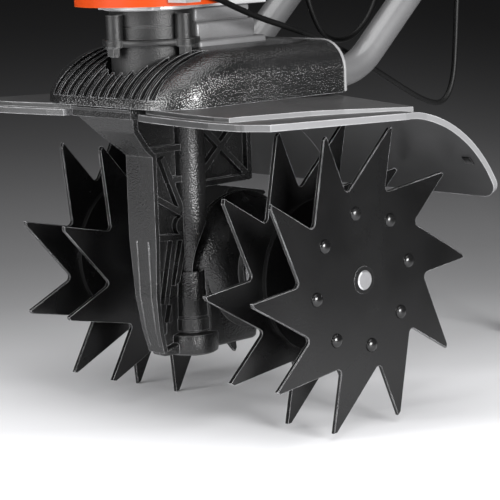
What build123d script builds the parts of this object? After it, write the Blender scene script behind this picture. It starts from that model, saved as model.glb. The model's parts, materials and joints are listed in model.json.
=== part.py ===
from build123d import *
import math
import os

# Walk-behind lawn scarifier: a compact carrier with a vertical engine, a worm-gear column,
# two fenders and two pairs of star discs, held up by a kickstand on its lower handle.
# X is forward, Y is the machine's left and Z is up, in millimetres, with the floor at Z = 0.
# X values below are measured from the disc axle, and axle_x puts the axle in the part's frame.

os.makedirs("parts", exist_ok=True)

# Rotor: star discs, hubs and axle
disc_tip_radius = 125.0
disc_valley_radius = 72.7
tooth_count = 10
valley_after_tip = 4.3       # degrees from a tip round to the valley behind its steep edge
tip_land = 1.7               # degrees of land at a tooth's tip
tip_land_drop = 1.5
valley_rounding = 4.0
disc_thickness = 3.5
disc_outer_offset = 138.8    # centre plane of the outer disc from the middle plane
disc_spacing = 51.2
rotor_stagger = 18.0         # degrees between the left and the right rotor
axle_radius = 8.0
axle_end_reach = 2.2         # the axle's end stands out of the outer disc by this
hub_radius = 11.0
hub_drum_radius = 26.0
hub_flange_radius = 63.0
hub_flange_thickness = 4.0
hub_inner_face = 50.5
hub_pin_radius = 3.0
hub_pin_offset = 62.0
hub_pin_length = 40.0
rivet_circle_radius = 55.0
rivet_count = 8
rivet_head_radius = 4.2
rivet_head_height = 3.0
seat_clearance = 0.05        # radial room in a bore round what it holds
axle_clearance = 0.08

# Gearcase and column
case_radius = 66.0
case_half_width = 26.0
case_front_x = 86.0
case_front_low_z = 62.0
case_front_high_z = 116.0
case_boss_radius = 34.0
case_boss_reach = 38.0
bearing_cover_radius = 31.0
bearing_cover_thickness = 6.0
column_x = 57.0
column_radius = 14.75
column_foot_radius = 23.0
column_band_radius = 27.0
column_band_low_z = 76.0
column_band_height = 12.0
web_thickness = 3.0
rib_width = 5.0
rib_depth = 14.0
rear_web_x = -8.0
rear_web_low_z = 196.0
guard_thickness = 4.0
guard_half_width = 16.0
guard_foot_half_width = 9.0
guard_flare_half_width = 35.0
guard_foot_z = 65.0

# Deck: fenders and the raised plates on them
deck_top_z = 270.5
fender_thickness = 5.2
fender_slope = 2.13          # degrees that a fender falls towards the rear
fender_outer_y = 190.5
fender_inner_y = 45.0
fender_gap = 0.3
curl_radius = 136.0          # round the axle, so the curl follows the discs
curl_end_z = 182.0
curl_outer_y = 183.0
curl_corner_radius = 15.0
front_reach = 167.0
raised_edge_y = 155.0
raised_edge_height = 3.8     # step from a fender up to its raised plate's outer edge
raised_end_x = -28.0
raised_fall = 0.071          # fall of the raised plate for each unit outwards
flange_rear_x = -20.0
flange_thickness = 8.5

# Hood
hood_rear_x = -35.0
hood_front_x = 148.0
hood_height = 42.0
hood_wall = 3.0
hood_lip_height = 7.0
hood_flat_end_x = 75.0       # the flat top ends here and rolls down to the lip
hood_rear_half_width = 94.0
hood_front_half_width = 84.0
hood_corner_radius = 38.0
hood_shoulder_radius = 24.0
fin_height = 5.5
fin_count = 14
fin_pitch = 9.6
fin_thickness = 2.8

# Engine
barrel_x = 91.0
barrel_radius = 36.5
barrel_top_z = 341.0
mount_plate_thickness = 6.0
engine_plate_thickness = 7.0
cover_radius = 60.0
cover_top_z = 455.0
cover_back_x = 45.0
cover_wall = 2.5
cover_edge_radius = 14.0
tank_x = -12.0
tank_length = 104.0
tank_width = 124.0
tank_height = 58.0
tank_corner_radius = 22.0
tank_edge_radius = 14.0
tank_wall = 3.0
filler_x = -14.0
filler_radius = 16.0
cylinder_z = 388.0
cylinder_rear_x = -48.0
cylinder_radius = 25.0
cooling_fin_width = 74.0
cooling_fin_height = 72.0
cooling_fin_count = 8
cooling_fin_step = 10.5
cooling_fin_thickness = 3.0
valve_cover_depth = 18.0
side_box_x = -4.0            # muffler, carburettor and air filter sit abreast of the cylinder here
muffler_length = 66.0
muffler_height = 50.0
muffler_depth = 42.0
filter_length = 70.0
filter_height = 62.0
filter_depth = 42.0

# Handle, stand and cables
tube_radius = 12.5
tube_wall = 1.6
tube_offset_y = 70.0
tube_seat_z = 284.0
tube_knee_x = -72.8
tube_slope = 41.1            # degrees above level, rising to the rear
tube_bend_radius = 60.0
fold_x = -450.0
stand_x = -400.0
handle_top_z = 950.0
grip_reach = 138.75          # from the handle's upper bend back to the grip's end
grip_length = 112.0
grip_radius = 17.0
grip_offset_y = 215.0
stand_foot_x = -384.0
stand_foot_radius = 18.0
stand_foot_height = 8.0
stand_barrel_radius = 14.0
stand_pin_radius = 5.0
stand_radius = 8.0
cable_radius = 2.5

# Worked out from the sizes above
slope = math.tan(math.radians(tube_slope))
handle_knee_x = tube_knee_x - (handle_top_z - tube_seat_z) / slope
grip_rear_x = handle_knee_x - grip_reach
axle_x = -(front_reach + grip_rear_x) / 2
axle_z = disc_tip_radius
flange_low_z = deck_top_z - flange_thickness


def side_plane(y=0.0):
    """Upright plane at y: its first direction is forward, its second is up."""
    return Plane(origin=(axle_x, y, 0), x_dir=(1, 0, 0), z_dir=(0, -1, 0))


def level_plane(z=0.0):
    """Level plane at height z: its first direction is forward, its second is left."""
    return Plane(origin=(axle_x, 0, z), x_dir=(1, 0, 0), z_dir=(0, 0, 1))


def cross_plane(x=0.0):
    """Upright plane across the machine at x: its first direction is left, its second is up."""
    return Plane(origin=(axle_x + x, 0, 0), x_dir=(0, 1, 0), z_dir=(1, 0, 0))


def place(x, y, z):
    """A point in the part's frame, with x measured from the axle."""
    return (axle_x + x, y, z)


def polar(radius, degrees):
    """A point on the side plane, at an angle from forward towards up, round the axle."""
    angle = math.radians(degrees)
    return (radius * math.cos(angle), axle_z + radius * math.sin(angle))


def tube_height(x):
    """Height of the handle tube's centre line at x, on its straight slope."""
    return tube_seat_z + (tube_knee_x - x) * slope


def save(builder, label):
    builder.part.label = label
    export_step(builder.part, f"parts/{label}.step")


# Star discs
def star_disc(y, phase, rivet_side, label):
    pitch = 360.0 / tooth_count
    corners = []
    for tooth in range(tooth_count):
        tip = 180.0 + tooth * pitch + phase
        corners.append(polar(disc_tip_radius - tip_land_drop, tip - tip_land))
        corners.append(polar(disc_tip_radius, tip))
        corners.append(polar(disc_valley_radius, tip + valley_after_tip))
    with BuildPart() as disc:
        with BuildSketch(side_plane(y)) as outline:
            with BuildLine():
                Polyline(*corners, close=True)
            make_face()
            fillet([corner for corner in outline.vertices()
                    if math.hypot(corner.X, corner.Y - axle_z) < disc_valley_radius + 1], valley_rounding)
            with Locations((0, axle_z)):
                Circle(hub_radius + seat_clearance, mode=Mode.SUBTRACT)
        extrude(amount=disc_thickness / 2, both=True)
        if rivet_side:
            face_y = y + rivet_side * disc_thickness / 2
            outward = Plane(origin=place(0, face_y, axle_z), x_dir=(1, 0, 0), z_dir=(0, rivet_side, 0))
            with BuildSketch(outward):
                with PolarLocations(rivet_circle_radius, rivet_count, start_angle=31.9):
                    Circle(rivet_head_radius)
            extrude(amount=rivet_head_height)
            rims = disc.edges().filter_by(GeomType.CIRCLE).filter_by(
                lambda e: abs(e.center().Y - face_y - rivet_side * rivet_head_height) < 0.01)
            fillet(rims, rivet_head_height * 0.9)
    save(disc, label)


for side, name in ((1, "left"), (-1, "right")):
    phase = 0.0 if side > 0 else -rotor_stagger
    star_disc(side * disc_outer_offset, phase, side, f"star_disc_{name}_outer")
    star_disc(side * (disc_outer_offset - disc_spacing), phase, 0, f"star_disc_{name}_inner")

# Rotor hubs: a sleeve through both discs, a drum between them and a flange behind each disc
disc_inner_offset = disc_outer_offset - disc_spacing
outer_flange_y = disc_outer_offset - disc_thickness / 2
inner_flange_y = disc_inner_offset + disc_thickness / 2
hub_outer_face = disc_outer_offset + disc_thickness / 2 + 1.2
for side, name in ((1, "left"), (-1, "right")):
    with BuildPart() as rotor_hub:
        with BuildSketch(Plane(origin=place(0, 0, axle_z), x_dir=(0, side, 0), z_dir=(1, 0, 0))):
            with BuildLine():
                Polyline(
                    (hub_inner_face, axle_radius + seat_clearance),
                    (hub_inner_face, hub_radius + 4),
                    (disc_inner_offset - disc_thickness / 2, hub_radius + 4),
                    (disc_inner_offset - disc_thickness / 2, hub_radius),
                    (inner_flange_y, hub_radius),
                    (inner_flange_y, hub_flange_radius),
                    (inner_flange_y + hub_flange_thickness, hub_flange_radius),
                    (inner_flange_y + hub_flange_thickness, hub_drum_radius),
                    (outer_flange_y - hub_flange_thickness, hub_drum_radius),
                    (outer_flange_y - hub_flange_thickness, hub_flange_radius),
                    (outer_flange_y, hub_flange_radius),
                    (outer_flange_y, hub_radius),
                    (hub_outer_face, hub_radius),
                    (hub_outer_face, axle_radius + seat_clearance),
                    close=True)
            make_face()
        revolve(axis=Axis(place(0, 0, axle_z), (0, 1, 0)))
        with BuildSketch(Plane(origin=place(0, side * hub_pin_offset, axle_z))):
            Circle(hub_pin_radius + seat_clearance)
        extrude(amount=hub_pin_length / 2, both=True, mode=Mode.SUBTRACT)
    save(rotor_hub, f"rotor_hub_{name}")
    with BuildPart() as hub_pin:
        with BuildSketch(Plane(origin=place(0, side * hub_pin_offset, axle_z - hub_pin_length / 2))):
            Circle(hub_pin_radius)
        extrude(amount=hub_pin_length)
        chamfer(hub_pin.edges().filter_by(GeomType.CIRCLE), 0.6)
    save(hub_pin, f"hub_pin_{name}")

axle_half_length = disc_outer_offset + disc_thickness / 2 + axle_end_reach
with BuildPart() as axle:
    with BuildSketch(side_plane()):
        with Locations((0, axle_z)):
            Circle(axle_radius)
    extrude(amount=axle_half_length, both=True)
    chamfer(axle.edges().filter_by(GeomType.CIRCLE), 1.0)
    with BuildSketch(Plane(origin=place(0, 0, axle_z))):
        with Locations((0, hub_pin_offset), (0, -hub_pin_offset)):
            Circle(hub_pin_radius + seat_clearance)
    extrude(amount=axle_radius + 1, both=True, mode=Mode.SUBTRACT)
save(axle, "axle")

# Worm gearcase round the axle, with a bearing cover on each side
with BuildPart() as worm_gearcase:
    with BuildSketch(side_plane()):
        with Locations((0, axle_z)):
            Circle(case_radius)
        with BuildLine():
            Polyline(
                (-4, axle_z - case_radius + 2),
                (case_front_x, case_front_low_z),
                (case_front_x, case_front_high_z),
                (column_x, case_front_high_z + 12),
                (0, axle_z + case_radius - 6),
                close=True)
        make_face()
    extrude(amount=case_half_width, both=True)
    with BuildSketch(side_plane()):
        with Locations((0, axle_z)):
            Circle(case_boss_radius)
    extrude(amount=case_boss_reach, both=True)
    with BuildSketch(level_plane(case_front_low_z - 2)):
        with Locations((column_x + 4, 0)):
            Circle(column_foot_radius)
    extrude(amount=case_front_high_z - case_front_low_z)
    with BuildSketch(level_plane(column_band_low_z)):
        with Locations((column_x + 4, 0)):
            Circle(column_band_radius)
    extrude(amount=column_band_height)
    with BuildSketch(side_plane()):
        with Locations((0, axle_z)):
            Circle(axle_radius + axle_clearance)
    extrude(amount=case_boss_reach, both=True, mode=Mode.SUBTRACT)
save(worm_gearcase, "worm_gearcase")

for side, name in ((1, "left"), (-1, "right")):
    cover_plane = Plane(origin=place(0, side * case_boss_reach, axle_z), x_dir=(1, 0, 0), z_dir=(0, side, 0))
    with BuildPart() as bearing_cover:
        with BuildSketch(cover_plane):
            Circle(bearing_cover_radius)
            Circle(axle_radius + axle_clearance, mode=Mode.SUBTRACT)
            with PolarLocations(bearing_cover_radius - 6, 4, start_angle=45):
                Circle(2.2, mode=Mode.SUBTRACT)
        extrude(amount=bearing_cover_thickness)
    save(bearing_cover, f"bearing_cover_{name}")

# Column housing: tube, ribbed webs, front guard and the flange under the engine
guard_path = [(147, deck_top_z), (133, 251), (118, 237), (107, 228), (107, 161),
              (105.7, 112), (101.7, 84), (96.5, guard_foot_z)]
guard_outline = [(guard_foot_half_width, guard_foot_z - 4), (guard_half_width, 158),
                 (guard_half_width, 232), (24, 250), (33, 262), (guard_flare_half_width, deck_top_z)]
front_ribs = [((57, 231), (108, 231)), ((90, 224), (69, 176)), ((69, 176), (106, 196)),
              ((69, 157), (106, 160)), ((69, 155), (88, 88)), ((80, 157), (92, 104)),
              ((57, 205), (84, 205))]
rear_ribs = [((57, 198), (rear_web_x, 198)), ((57, 256), (rear_web_x, 198)),
             ((57, 198), (rear_web_x, 256)), ((rear_web_x, 262), (rear_web_x, 196))]
with BuildPart() as column_housing:
    with BuildSketch(side_plane()):
        with BuildLine():
            Polyline(*guard_path)
        trace(line_width=guard_thickness)
    extrude(amount=guard_flare_half_width + 5, both=True)
    with BuildSketch(cross_plane(80)):
        mirrored = [(-y, z) for y, z in reversed(guard_outline)]
        with BuildLine():
            Polyline(*guard_outline, *mirrored, close=True)
        make_face()
    extrude(amount=80, mode=Mode.INTERSECT)
    with BuildSketch(side_plane()):
        with BuildLine():
            Polyline((column_x, flange_low_z + 2), (136, flange_low_z + 2), (107, 229), (107, 161),
                     (105.7, 112), (101.7, 84), (97, 76), (87, 76), (87, 120), (column_x, 130), close=True)
        make_face()
        with BuildLine():
            Polyline((column_x, flange_low_z + 2), (rear_web_x, flange_low_z + 2),
                     (rear_web_x, rear_web_low_z), (column_x, rear_web_low_z), close=True)
        make_face()
    extrude(amount=web_thickness / 2, both=True)
    with BuildSketch(side_plane()):
        for start, end in front_ribs + rear_ribs:
            with BuildLine():
                Line(start, end)
            trace(line_width=rib_width)
        with Locations((69.7, 166.3)):
            Circle(8)
    extrude(amount=rib_depth / 2, both=True)
    with BuildSketch(level_plane(case_front_high_z + 8)):
        with Locations((column_x, 0)):
            Circle(column_radius)
    extrude(amount=flange_low_z - case_front_high_z - 6)
    with BuildSketch(level_plane(flange_low_z)):
        with BuildLine():
            Polyline((flange_rear_x, -fender_inner_y + fender_gap), (110, -fender_inner_y + fender_gap),
                     (147, -guard_flare_half_width), (147, guard_flare_half_width),
                     (110, fender_inner_y - fender_gap), (flange_rear_x, fender_inner_y - fender_gap),
                     close=True)
        make_face()
    extrude(amount=deck_top_z - flange_low_z)
    with BuildSketch(side_plane()):
        with Locations((0, axle_z)):
            Circle(case_radius + fender_gap)
        with BuildLine():
            Polyline((-4, case_front_low_z - 4), (case_front_x + fender_gap, case_front_low_z - 4),
                     (case_front_x + fender_gap, case_front_high_z + fender_gap),
                     (column_x + fender_gap, case_front_high_z + 12 + fender_gap),
                     (0, axle_z + case_radius), close=True)
        make_face()
    extrude(amount=case_half_width + 3, both=True, mode=Mode.SUBTRACT)
    with BuildSketch(level_plane(column_band_low_z - 1)):
        with Locations((column_x + 4, 0)):
            Circle(column_band_radius + fender_gap)
    extrude(amount=column_band_height + 2, mode=Mode.SUBTRACT)
save(column_housing, "column_housing")

# Fenders: a plate that falls slightly to the rear and curls down round the discs
fall = math.radians(fender_slope)


def fender_section(outer, inner):
    """The section between two radii: straight to the front, round the axle behind it."""
    end = math.acos((curl_end_z - axle_z) / outer)

    def at(radius, angle, run=0.0):
        return (run * math.cos(fall) - radius * math.sin(angle), axle_z + run * math.sin(fall) + radius * math.cos(angle))

    with BuildSketch(side_plane()) as section:
        with BuildLine():
            Line(at(outer, fall, front_reach + 10), at(outer, fall))
            ThreePointArc(at(outer, fall), at(outer, end / 2), at(outer, end))
            Line(at(outer, end), at(inner, end))
            ThreePointArc(at(inner, end), at(inner, end / 2), at(inner, fall))
            Line(at(inner, fall), at(inner, fall, front_reach + 10))
            Line(at(inner, fall, front_reach + 10), at(outer, fall, front_reach + 10))
        make_face()
    return section.sketch


# Each corner of the plan goes from the front's inner end round to the curl's outer edge
fender_plan = [(148, fender_inner_y), (153, 61), (161.5, 104), (front_reach, 143), (165, 173), (150, fender_outer_y),
               (2, fender_outer_y), (-32, curl_outer_y), (-curl_radius, curl_outer_y), (-curl_radius, fender_gap / 2),
               (flange_rear_x, fender_gap / 2), (flange_rear_x, fender_inner_y)]
raised_plan = [(140, fender_inner_y), (145, 61), (153.5, 104), (158, 140), (157, raised_edge_y),
               (70, raised_edge_y), (38, 159.5), (14, 165), (1, 167.5), (raised_end_x, 172),
               (raised_end_x, fender_gap / 2), (flange_rear_x, fender_gap / 2), (flange_rear_x, fender_inner_y)]
for side, name in ((1, "left"), (-1, "right")):
    with BuildPart() as fender:
        extrude(fender_section(curl_radius, curl_radius - fender_thickness), amount=fender_outer_y, both=True)
        with BuildSketch(level_plane(curl_end_z - 20)) as plan:
            with BuildLine():
                Polyline(*[(x, side * y) for x, y in fender_plan], close=True)
            make_face()
            fillet(plan.vertices().filter_by(lambda v: axle_x - 40 < v.X < axle_x + 10 and abs(v.Y) > 150), 50)
            fillet(plan.vertices().sort_by_distance(place(150, side * fender_outer_y, plan.vertices()[0].Z))[0], 12)
        extrude(amount=deck_top_z - curl_end_z + 30, mode=Mode.INTERSECT)
        corner = place(-curl_radius, side * curl_outer_y, curl_end_z)
        fillet(fender.edges().sort_by(lambda e: (e.center() - Vector(*corner)).length)[0], curl_corner_radius)
    save(fender, f"fender_{name}")
    with BuildPart() as fender_lip:
        with BuildSketch(level_plane(deck_top_z - 20)):
            with BuildLine():
                Polyline(*[(x, side * y) for x, y in raised_plan], close=True)
            make_face()
        extrude(amount=20)
        extrude(fender_section(curl_radius, curl_radius / 2), amount=fender_outer_y, both=True, mode=Mode.SUBTRACT)
        edge_z = axle_z + curl_radius / math.cos(fall) + raised_edge_height
        with BuildSketch(Plane(origin=place(0, side * raised_edge_y, edge_z),
                               z_dir=Vector(-math.tan(fall), side * raised_fall, 1))):
            Rectangle(4 * front_reach, 4 * fender_outer_y)
        extrude(amount=40, mode=Mode.SUBTRACT)
    save(fender_lip, f"fender_lip_{name}")

# Hood: a thin shell with a flat foot, open at the rear, with cooling fins cut into its front
def hood_form(front_x, rear_x, flat_end_x, height, foot, inset):
    """The hood's outer form, or its cavity: a flat top that rolls down to the foot at the front."""
    half_widths = (hood_rear_half_width - inset, hood_front_half_width - inset)
    with BuildPart() as form:
        with BuildSketch(side_plane()):
            with BuildLine():
                Polyline((flat_end_x, deck_top_z + height), (rear_x, deck_top_z + height),
                         (rear_x, deck_top_z), (front_x, deck_top_z), (front_x, deck_top_z + foot))
                TangentArc((flat_end_x, deck_top_z + height), (front_x, deck_top_z + foot), tangent=(1, 0))
            make_face()
        extrude(amount=hood_rear_half_width, both=True)
        with BuildSketch(level_plane(deck_top_z)) as plan:
            with BuildLine():
                Polyline((rear_x, -half_widths[0]), (rear_x, half_widths[0]), (front_x, half_widths[1]),
                         (front_x, -half_widths[1]), (rear_x, -half_widths[0]))
            make_face()
            fillet(plan.vertices().sort_by(Axis.X)[-2:], hood_corner_radius - inset)
        extrude(amount=height + 1, mode=Mode.INTERSECT)
        shoulders = form.edges().filter_by(
            lambda e: e.center().Z > deck_top_z + foot + 1 and abs(e.center().Y) > 30
            and e.center().X > axle_x + rear_x + 1)
        fillet(shoulders, hood_shoulder_radius - inset)
    return form.part


def fin_cut(y):
    """The gap between two fins at y, rolled down beside the hood's front."""
    floor_z = deck_top_z + hood_lip_height
    with BuildSketch(side_plane(y)) as gap:
        with BuildLine():
            low = hood_flat_end_x + fin_height * 2
            Polyline((low, deck_top_z + hood_height - fin_height), (low, deck_top_z + hood_height + 10),
                     (hood_front_x + 5, deck_top_z + hood_height + 10), (hood_front_x + 5, floor_z),
                     (hood_front_x - fin_height, floor_z))
            TangentArc((low, deck_top_z + hood_height - fin_height), (hood_front_x - fin_height, floor_z),
                       tangent=(1, 0))
        make_face()
    return gap.sketch


with BuildPart() as hood:
    add(hood_form(hood_front_x, hood_rear_x, hood_flat_end_x, hood_height, hood_lip_height, 0))
    add(hood_form(hood_front_x - 10, hood_rear_x, hood_flat_end_x - 30, hood_height - hood_wall, 1, hood_wall),
        mode=Mode.SUBTRACT)
    with BuildSketch(level_plane(deck_top_z)):
        with Locations((barrel_x, 0)):
            Circle(barrel_radius + 1)
    extrude(amount=hood_height + 5, mode=Mode.SUBTRACT)
    for gap in range(fin_count - 1):
        gap_y = (gap + 1 - fin_count / 2) * fin_pitch
        extrude(fin_cut(gap_y), amount=(fin_pitch - fin_thickness) / 2, both=True, mode=Mode.SUBTRACT)
save(hood, "hood")

# Engine mounting plate under the hood
mount_top_z = deck_top_z + mount_plate_thickness
with BuildPart() as mount_plate:
    with BuildSketch(level_plane(deck_top_z)):
        with Locations((80, 0)):
            RectangleRounded(96, 116, 8)
    extrude(amount=mount_plate_thickness)
save(mount_plate, "mount_plate")

# Engine: crankcase barrel, plate, blower cover, cylinder, tank and fittings
block_low_z = deck_top_z + hood_height + 0.3
with BuildPart() as crankcase:
    with BuildSketch(level_plane(mount_top_z)):
        with Locations((barrel_x, 0)):
            Circle(barrel_radius)
    extrude(amount=barrel_top_z - mount_top_z)
    with BuildSketch(level_plane(316)):
        with Locations((barrel_x, 0)):
            Circle(43)
    extrude(amount=5)
    with BuildSketch(level_plane(321)):
        with Locations((barrel_x, 0)):
            with PolarLocations(40, 4):
                Circle(8.5)
    extrude(amount=barrel_top_z - 321)
    with BuildSketch(level_plane(block_low_z)):
        with Locations((28, 0)):
            RectangleRounded(76, 60, 8)
    extrude(amount=18)
    with BuildSketch(level_plane(block_low_z)):
        with Locations((35, 0)):
            RectangleRounded(62, 50, 8)
    extrude(amount=barrel_top_z - block_low_z)
save(crankcase, "crankcase")

plate_top_z = barrel_top_z + engine_plate_thickness
with BuildPart() as engine_plate:
    with BuildSketch(level_plane(barrel_top_z)):
        with Locations((55, 0)):
            RectangleRounded(126, 66, 15)
        with Locations((barrel_x, 0)):
            Circle(50)
    extrude(amount=engine_plate_thickness)
save(engine_plate, "engine_plate")


def cover_form(inset):
    """The blower cover's outer form, or with an inset the room inside it."""
    with BuildPart() as form:
        with BuildSketch(level_plane(plate_top_z)):
            with Locations((barrel_x, 0)):
                Circle(cover_radius - inset)
            with Locations((cover_back_x + inset - cover_radius, 0)):
                Rectangle(2 * cover_radius, 3 * cover_radius, mode=Mode.SUBTRACT)
        extrude(amount=cover_top_z - plate_top_z - inset)
        fillet(form.faces().sort_by(Axis.Z)[-1].edges(), cover_edge_radius - inset)
    return form.part


with BuildPart() as blower_cover:
    add(cover_form(0))
    add(cover_form(cover_wall), mode=Mode.SUBTRACT)
save(blower_cover, "blower_cover")

with BuildPart() as starter_grille:
    with BuildSketch(level_plane(cover_top_z)):
        with Locations((barrel_x, 0)):
            Circle(42)
    extrude(amount=14)
    fillet(starter_grille.faces().sort_by(Axis.Z)[-1].edges(), 5)
    with BuildSketch(level_plane(cover_top_z + 10)):
        with Locations((barrel_x, 0)):
            with PolarLocations(26, 12):
                SlotOverall(18, 4)
    extrude(amount=4, mode=Mode.SUBTRACT)
save(starter_grille, "starter_grille")

with BuildPart() as cylinder:
    with BuildSketch(cross_plane(cylinder_rear_x)):
        with Locations((0, cylinder_z)):
            Circle(cylinder_radius)
    extrude(amount=cover_back_x - cylinder_rear_x)
    with BuildSketch(level_plane(plate_top_z)):
        with Locations((8, 0)):
            Rectangle(30, 40)
    extrude(amount=cylinder_z - plate_top_z)
    for fin in range(cooling_fin_count):
        with BuildSketch(cross_plane(cylinder_rear_x + 8 + fin * cooling_fin_step)):
            with Locations((0, cylinder_z)):
                RectangleRounded(cooling_fin_width, cooling_fin_height, 8)
        extrude(amount=cooling_fin_thickness)
save(cylinder, "cylinder")

with BuildPart() as valve_cover:
    with BuildSketch(cross_plane(cylinder_rear_x)):
        with Locations((0, cylinder_z)):
            RectangleRounded(54, 58, 10)
    extrude(amount=-valve_cover_depth)
    fillet(valve_cover.faces().sort_by(Axis.X)[0].edges(), 4)
save(valve_cover, "valve_cover")

with BuildPart() as muffler:
    with BuildSketch(side_plane(cooling_fin_width / 2 + 5)):
        with Locations((side_box_x, cylinder_z)):
            RectangleRounded(muffler_length, muffler_height, 12)
    extrude(amount=-muffler_depth)
    fillet(muffler.faces().sort_by(Axis.Y)[-1].edges(), 5)
    with BuildSketch(side_plane(cooling_fin_width / 2 + 5)):
        with Locations((side_box_x, cylinder_z)):
            Rectangle(26, 20)
    extrude(amount=5)
save(muffler, "muffler")

with BuildPart() as carburetor:
    with BuildSketch(side_plane(-cooling_fin_width / 2)):
        with Locations((side_box_x, cylinder_z)):
            Rectangle(30, 28)
    extrude(amount=13)
save(carburetor, "carburetor")

with BuildPart() as air_filter:
    with BuildSketch(side_plane(-cooling_fin_width / 2 - 13)):
        with Locations((side_box_x, cylinder_z + 2)):
            RectangleRounded(filter_length, filter_height, 10)
    extrude(amount=filter_depth)
    fillet(air_filter.faces().sort_by(Axis.Y)[0].edges(), 6)
save(air_filter, "air_filter")

tank_low_z = cylinder_z + cooling_fin_height / 2
with BuildPart() as fuel_tank:
    with BuildSketch(level_plane(tank_low_z)):
        with Locations((tank_x, 0)):
            RectangleRounded(tank_length, tank_width, tank_corner_radius)
    extrude(amount=tank_height)
    fillet(fuel_tank.faces().sort_by(Axis.Z)[-1].edges(), tank_edge_radius)
    with BuildSketch(level_plane(tank_low_z + tank_wall)):
        with Locations((tank_x, 0)):
            RectangleRounded(tank_length - 2 * tank_wall, tank_width - 2 * tank_wall, tank_corner_radius - tank_wall)
    extrude(amount=tank_height - tank_edge_radius, mode=Mode.SUBTRACT)
    with BuildSketch(level_plane(tank_low_z + tank_wall)):
        with Locations((filler_x, 0)):
            Circle(filler_radius)
    extrude(amount=tank_height, mode=Mode.SUBTRACT)
save(fuel_tank, "fuel_tank")

with BuildPart() as fuel_cap:
    with BuildSketch(level_plane(tank_low_z + tank_height)):
        with Locations((filler_x, 0)):
            Circle(filler_radius + 5)
    extrude(amount=13)
    fillet(fuel_cap.faces().sort_by(Axis.Z)[-1].edges(), 4)
save(fuel_cap, "fuel_cap")

# Lower handle tubes, seated in a cradle inside the hood, and the cross tube of the stand
for side, name in ((1, "left"), (-1, "right")):
    tail_x = fold_x - 12
    with BuildPart() as lower_tube:
        with BuildLine():
            FilletPolyline((axle_x + 28, side * tube_offset_y, tube_seat_z),
                           (axle_x + tube_knee_x, side * tube_offset_y, tube_seat_z),
                           (axle_x + tail_x, side * tube_offset_y, tube_height(tail_x)),
                           radius=tube_bend_radius)
        with BuildSketch(Plane(origin=place(28, side * tube_offset_y, tube_seat_z), z_dir=(-1, 0, 0))):
            Circle(tube_radius)
            Circle(tube_radius - tube_wall, mode=Mode.SUBTRACT)
        sweep()
        with BuildSketch(side_plane(side * tube_offset_y)):
            with Locations((fold_x, tube_height(fold_x))):
                Circle(4.1)
        extrude(amount=tube_radius + 1, both=True, mode=Mode.SUBTRACT)
    save(lower_tube, f"lower_tube_{name}")

with BuildPart() as tube_cradle:
    with BuildSketch(level_plane(deck_top_z)):
        with Locations((2, 0)):
            Rectangle(56, 168)
        with Locations((-23, 0)):
            Rectangle(10, 2 * fender_inner_y, mode=Mode.SUBTRACT)
    extrude(amount=26)
    with BuildSketch(cross_plane(-40)):
        with Locations((tube_offset_y, tube_seat_z), (-tube_offset_y, tube_seat_z)):
            Circle(tube_radius + seat_clearance)
    extrude(amount=80, mode=Mode.SUBTRACT)
save(tube_cradle, "tube_cradle")

stand_z = tube_height(stand_x)
with BuildPart() as stand_crossbar:
    with BuildSketch(side_plane()):
        with Locations((stand_x, stand_z)):
            Circle(9)
    extrude(amount=tube_offset_y - 4, both=True)
    with BuildSketch(side_plane(0)):
        with Locations((stand_x, stand_z)):
            Circle(stand_barrel_radius)
    extrude(amount=24, both=True)
    with BuildSketch(side_plane(0)):
        with Locations((stand_x, stand_z)):
            Rectangle(60, 60)
    extrude(amount=16, both=True, mode=Mode.SUBTRACT)
    with BuildSketch(side_plane(0)):
        with Locations((stand_x, stand_z)):
            Circle(stand_pin_radius)
    extrude(amount=16, both=True)
    for side in (1, -1):
        with BuildSketch(Plane(origin=place(stand_x, side * tube_offset_y, stand_z), z_dir=(-1, 0, slope))):
            Circle(tube_radius + fender_gap / 2)
        extrude(amount=30, both=True, mode=Mode.SUBTRACT)
save(stand_crossbar, "stand_crossbar")

# Kickstand
with BuildPart() as kickstand:
    with BuildSketch(side_plane()):
        with Locations((stand_x, stand_z)):
            Circle(stand_barrel_radius)
    extrude(amount=15, both=True)
    with BuildSketch(Plane(origin=place(stand_x, 0, stand_z),
                           z_dir=Vector(stand_foot_x - stand_x, 0, -stand_z))):
        Circle(stand_radius)
    extrude(amount=math.hypot(stand_foot_x - stand_x, stand_z) - 2)
    with BuildSketch(level_plane(0)):
        with Locations((stand_foot_x, 0)):
            Circle(stand_foot_radius)
    extrude(amount=stand_foot_height)
    with BuildSketch(side_plane()):
        with Locations((stand_x, stand_z)):
            Circle(stand_pin_radius + axle_clearance)
    extrude(amount=16, both=True, mode=Mode.SUBTRACT)
save(kickstand, "kickstand")

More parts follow.
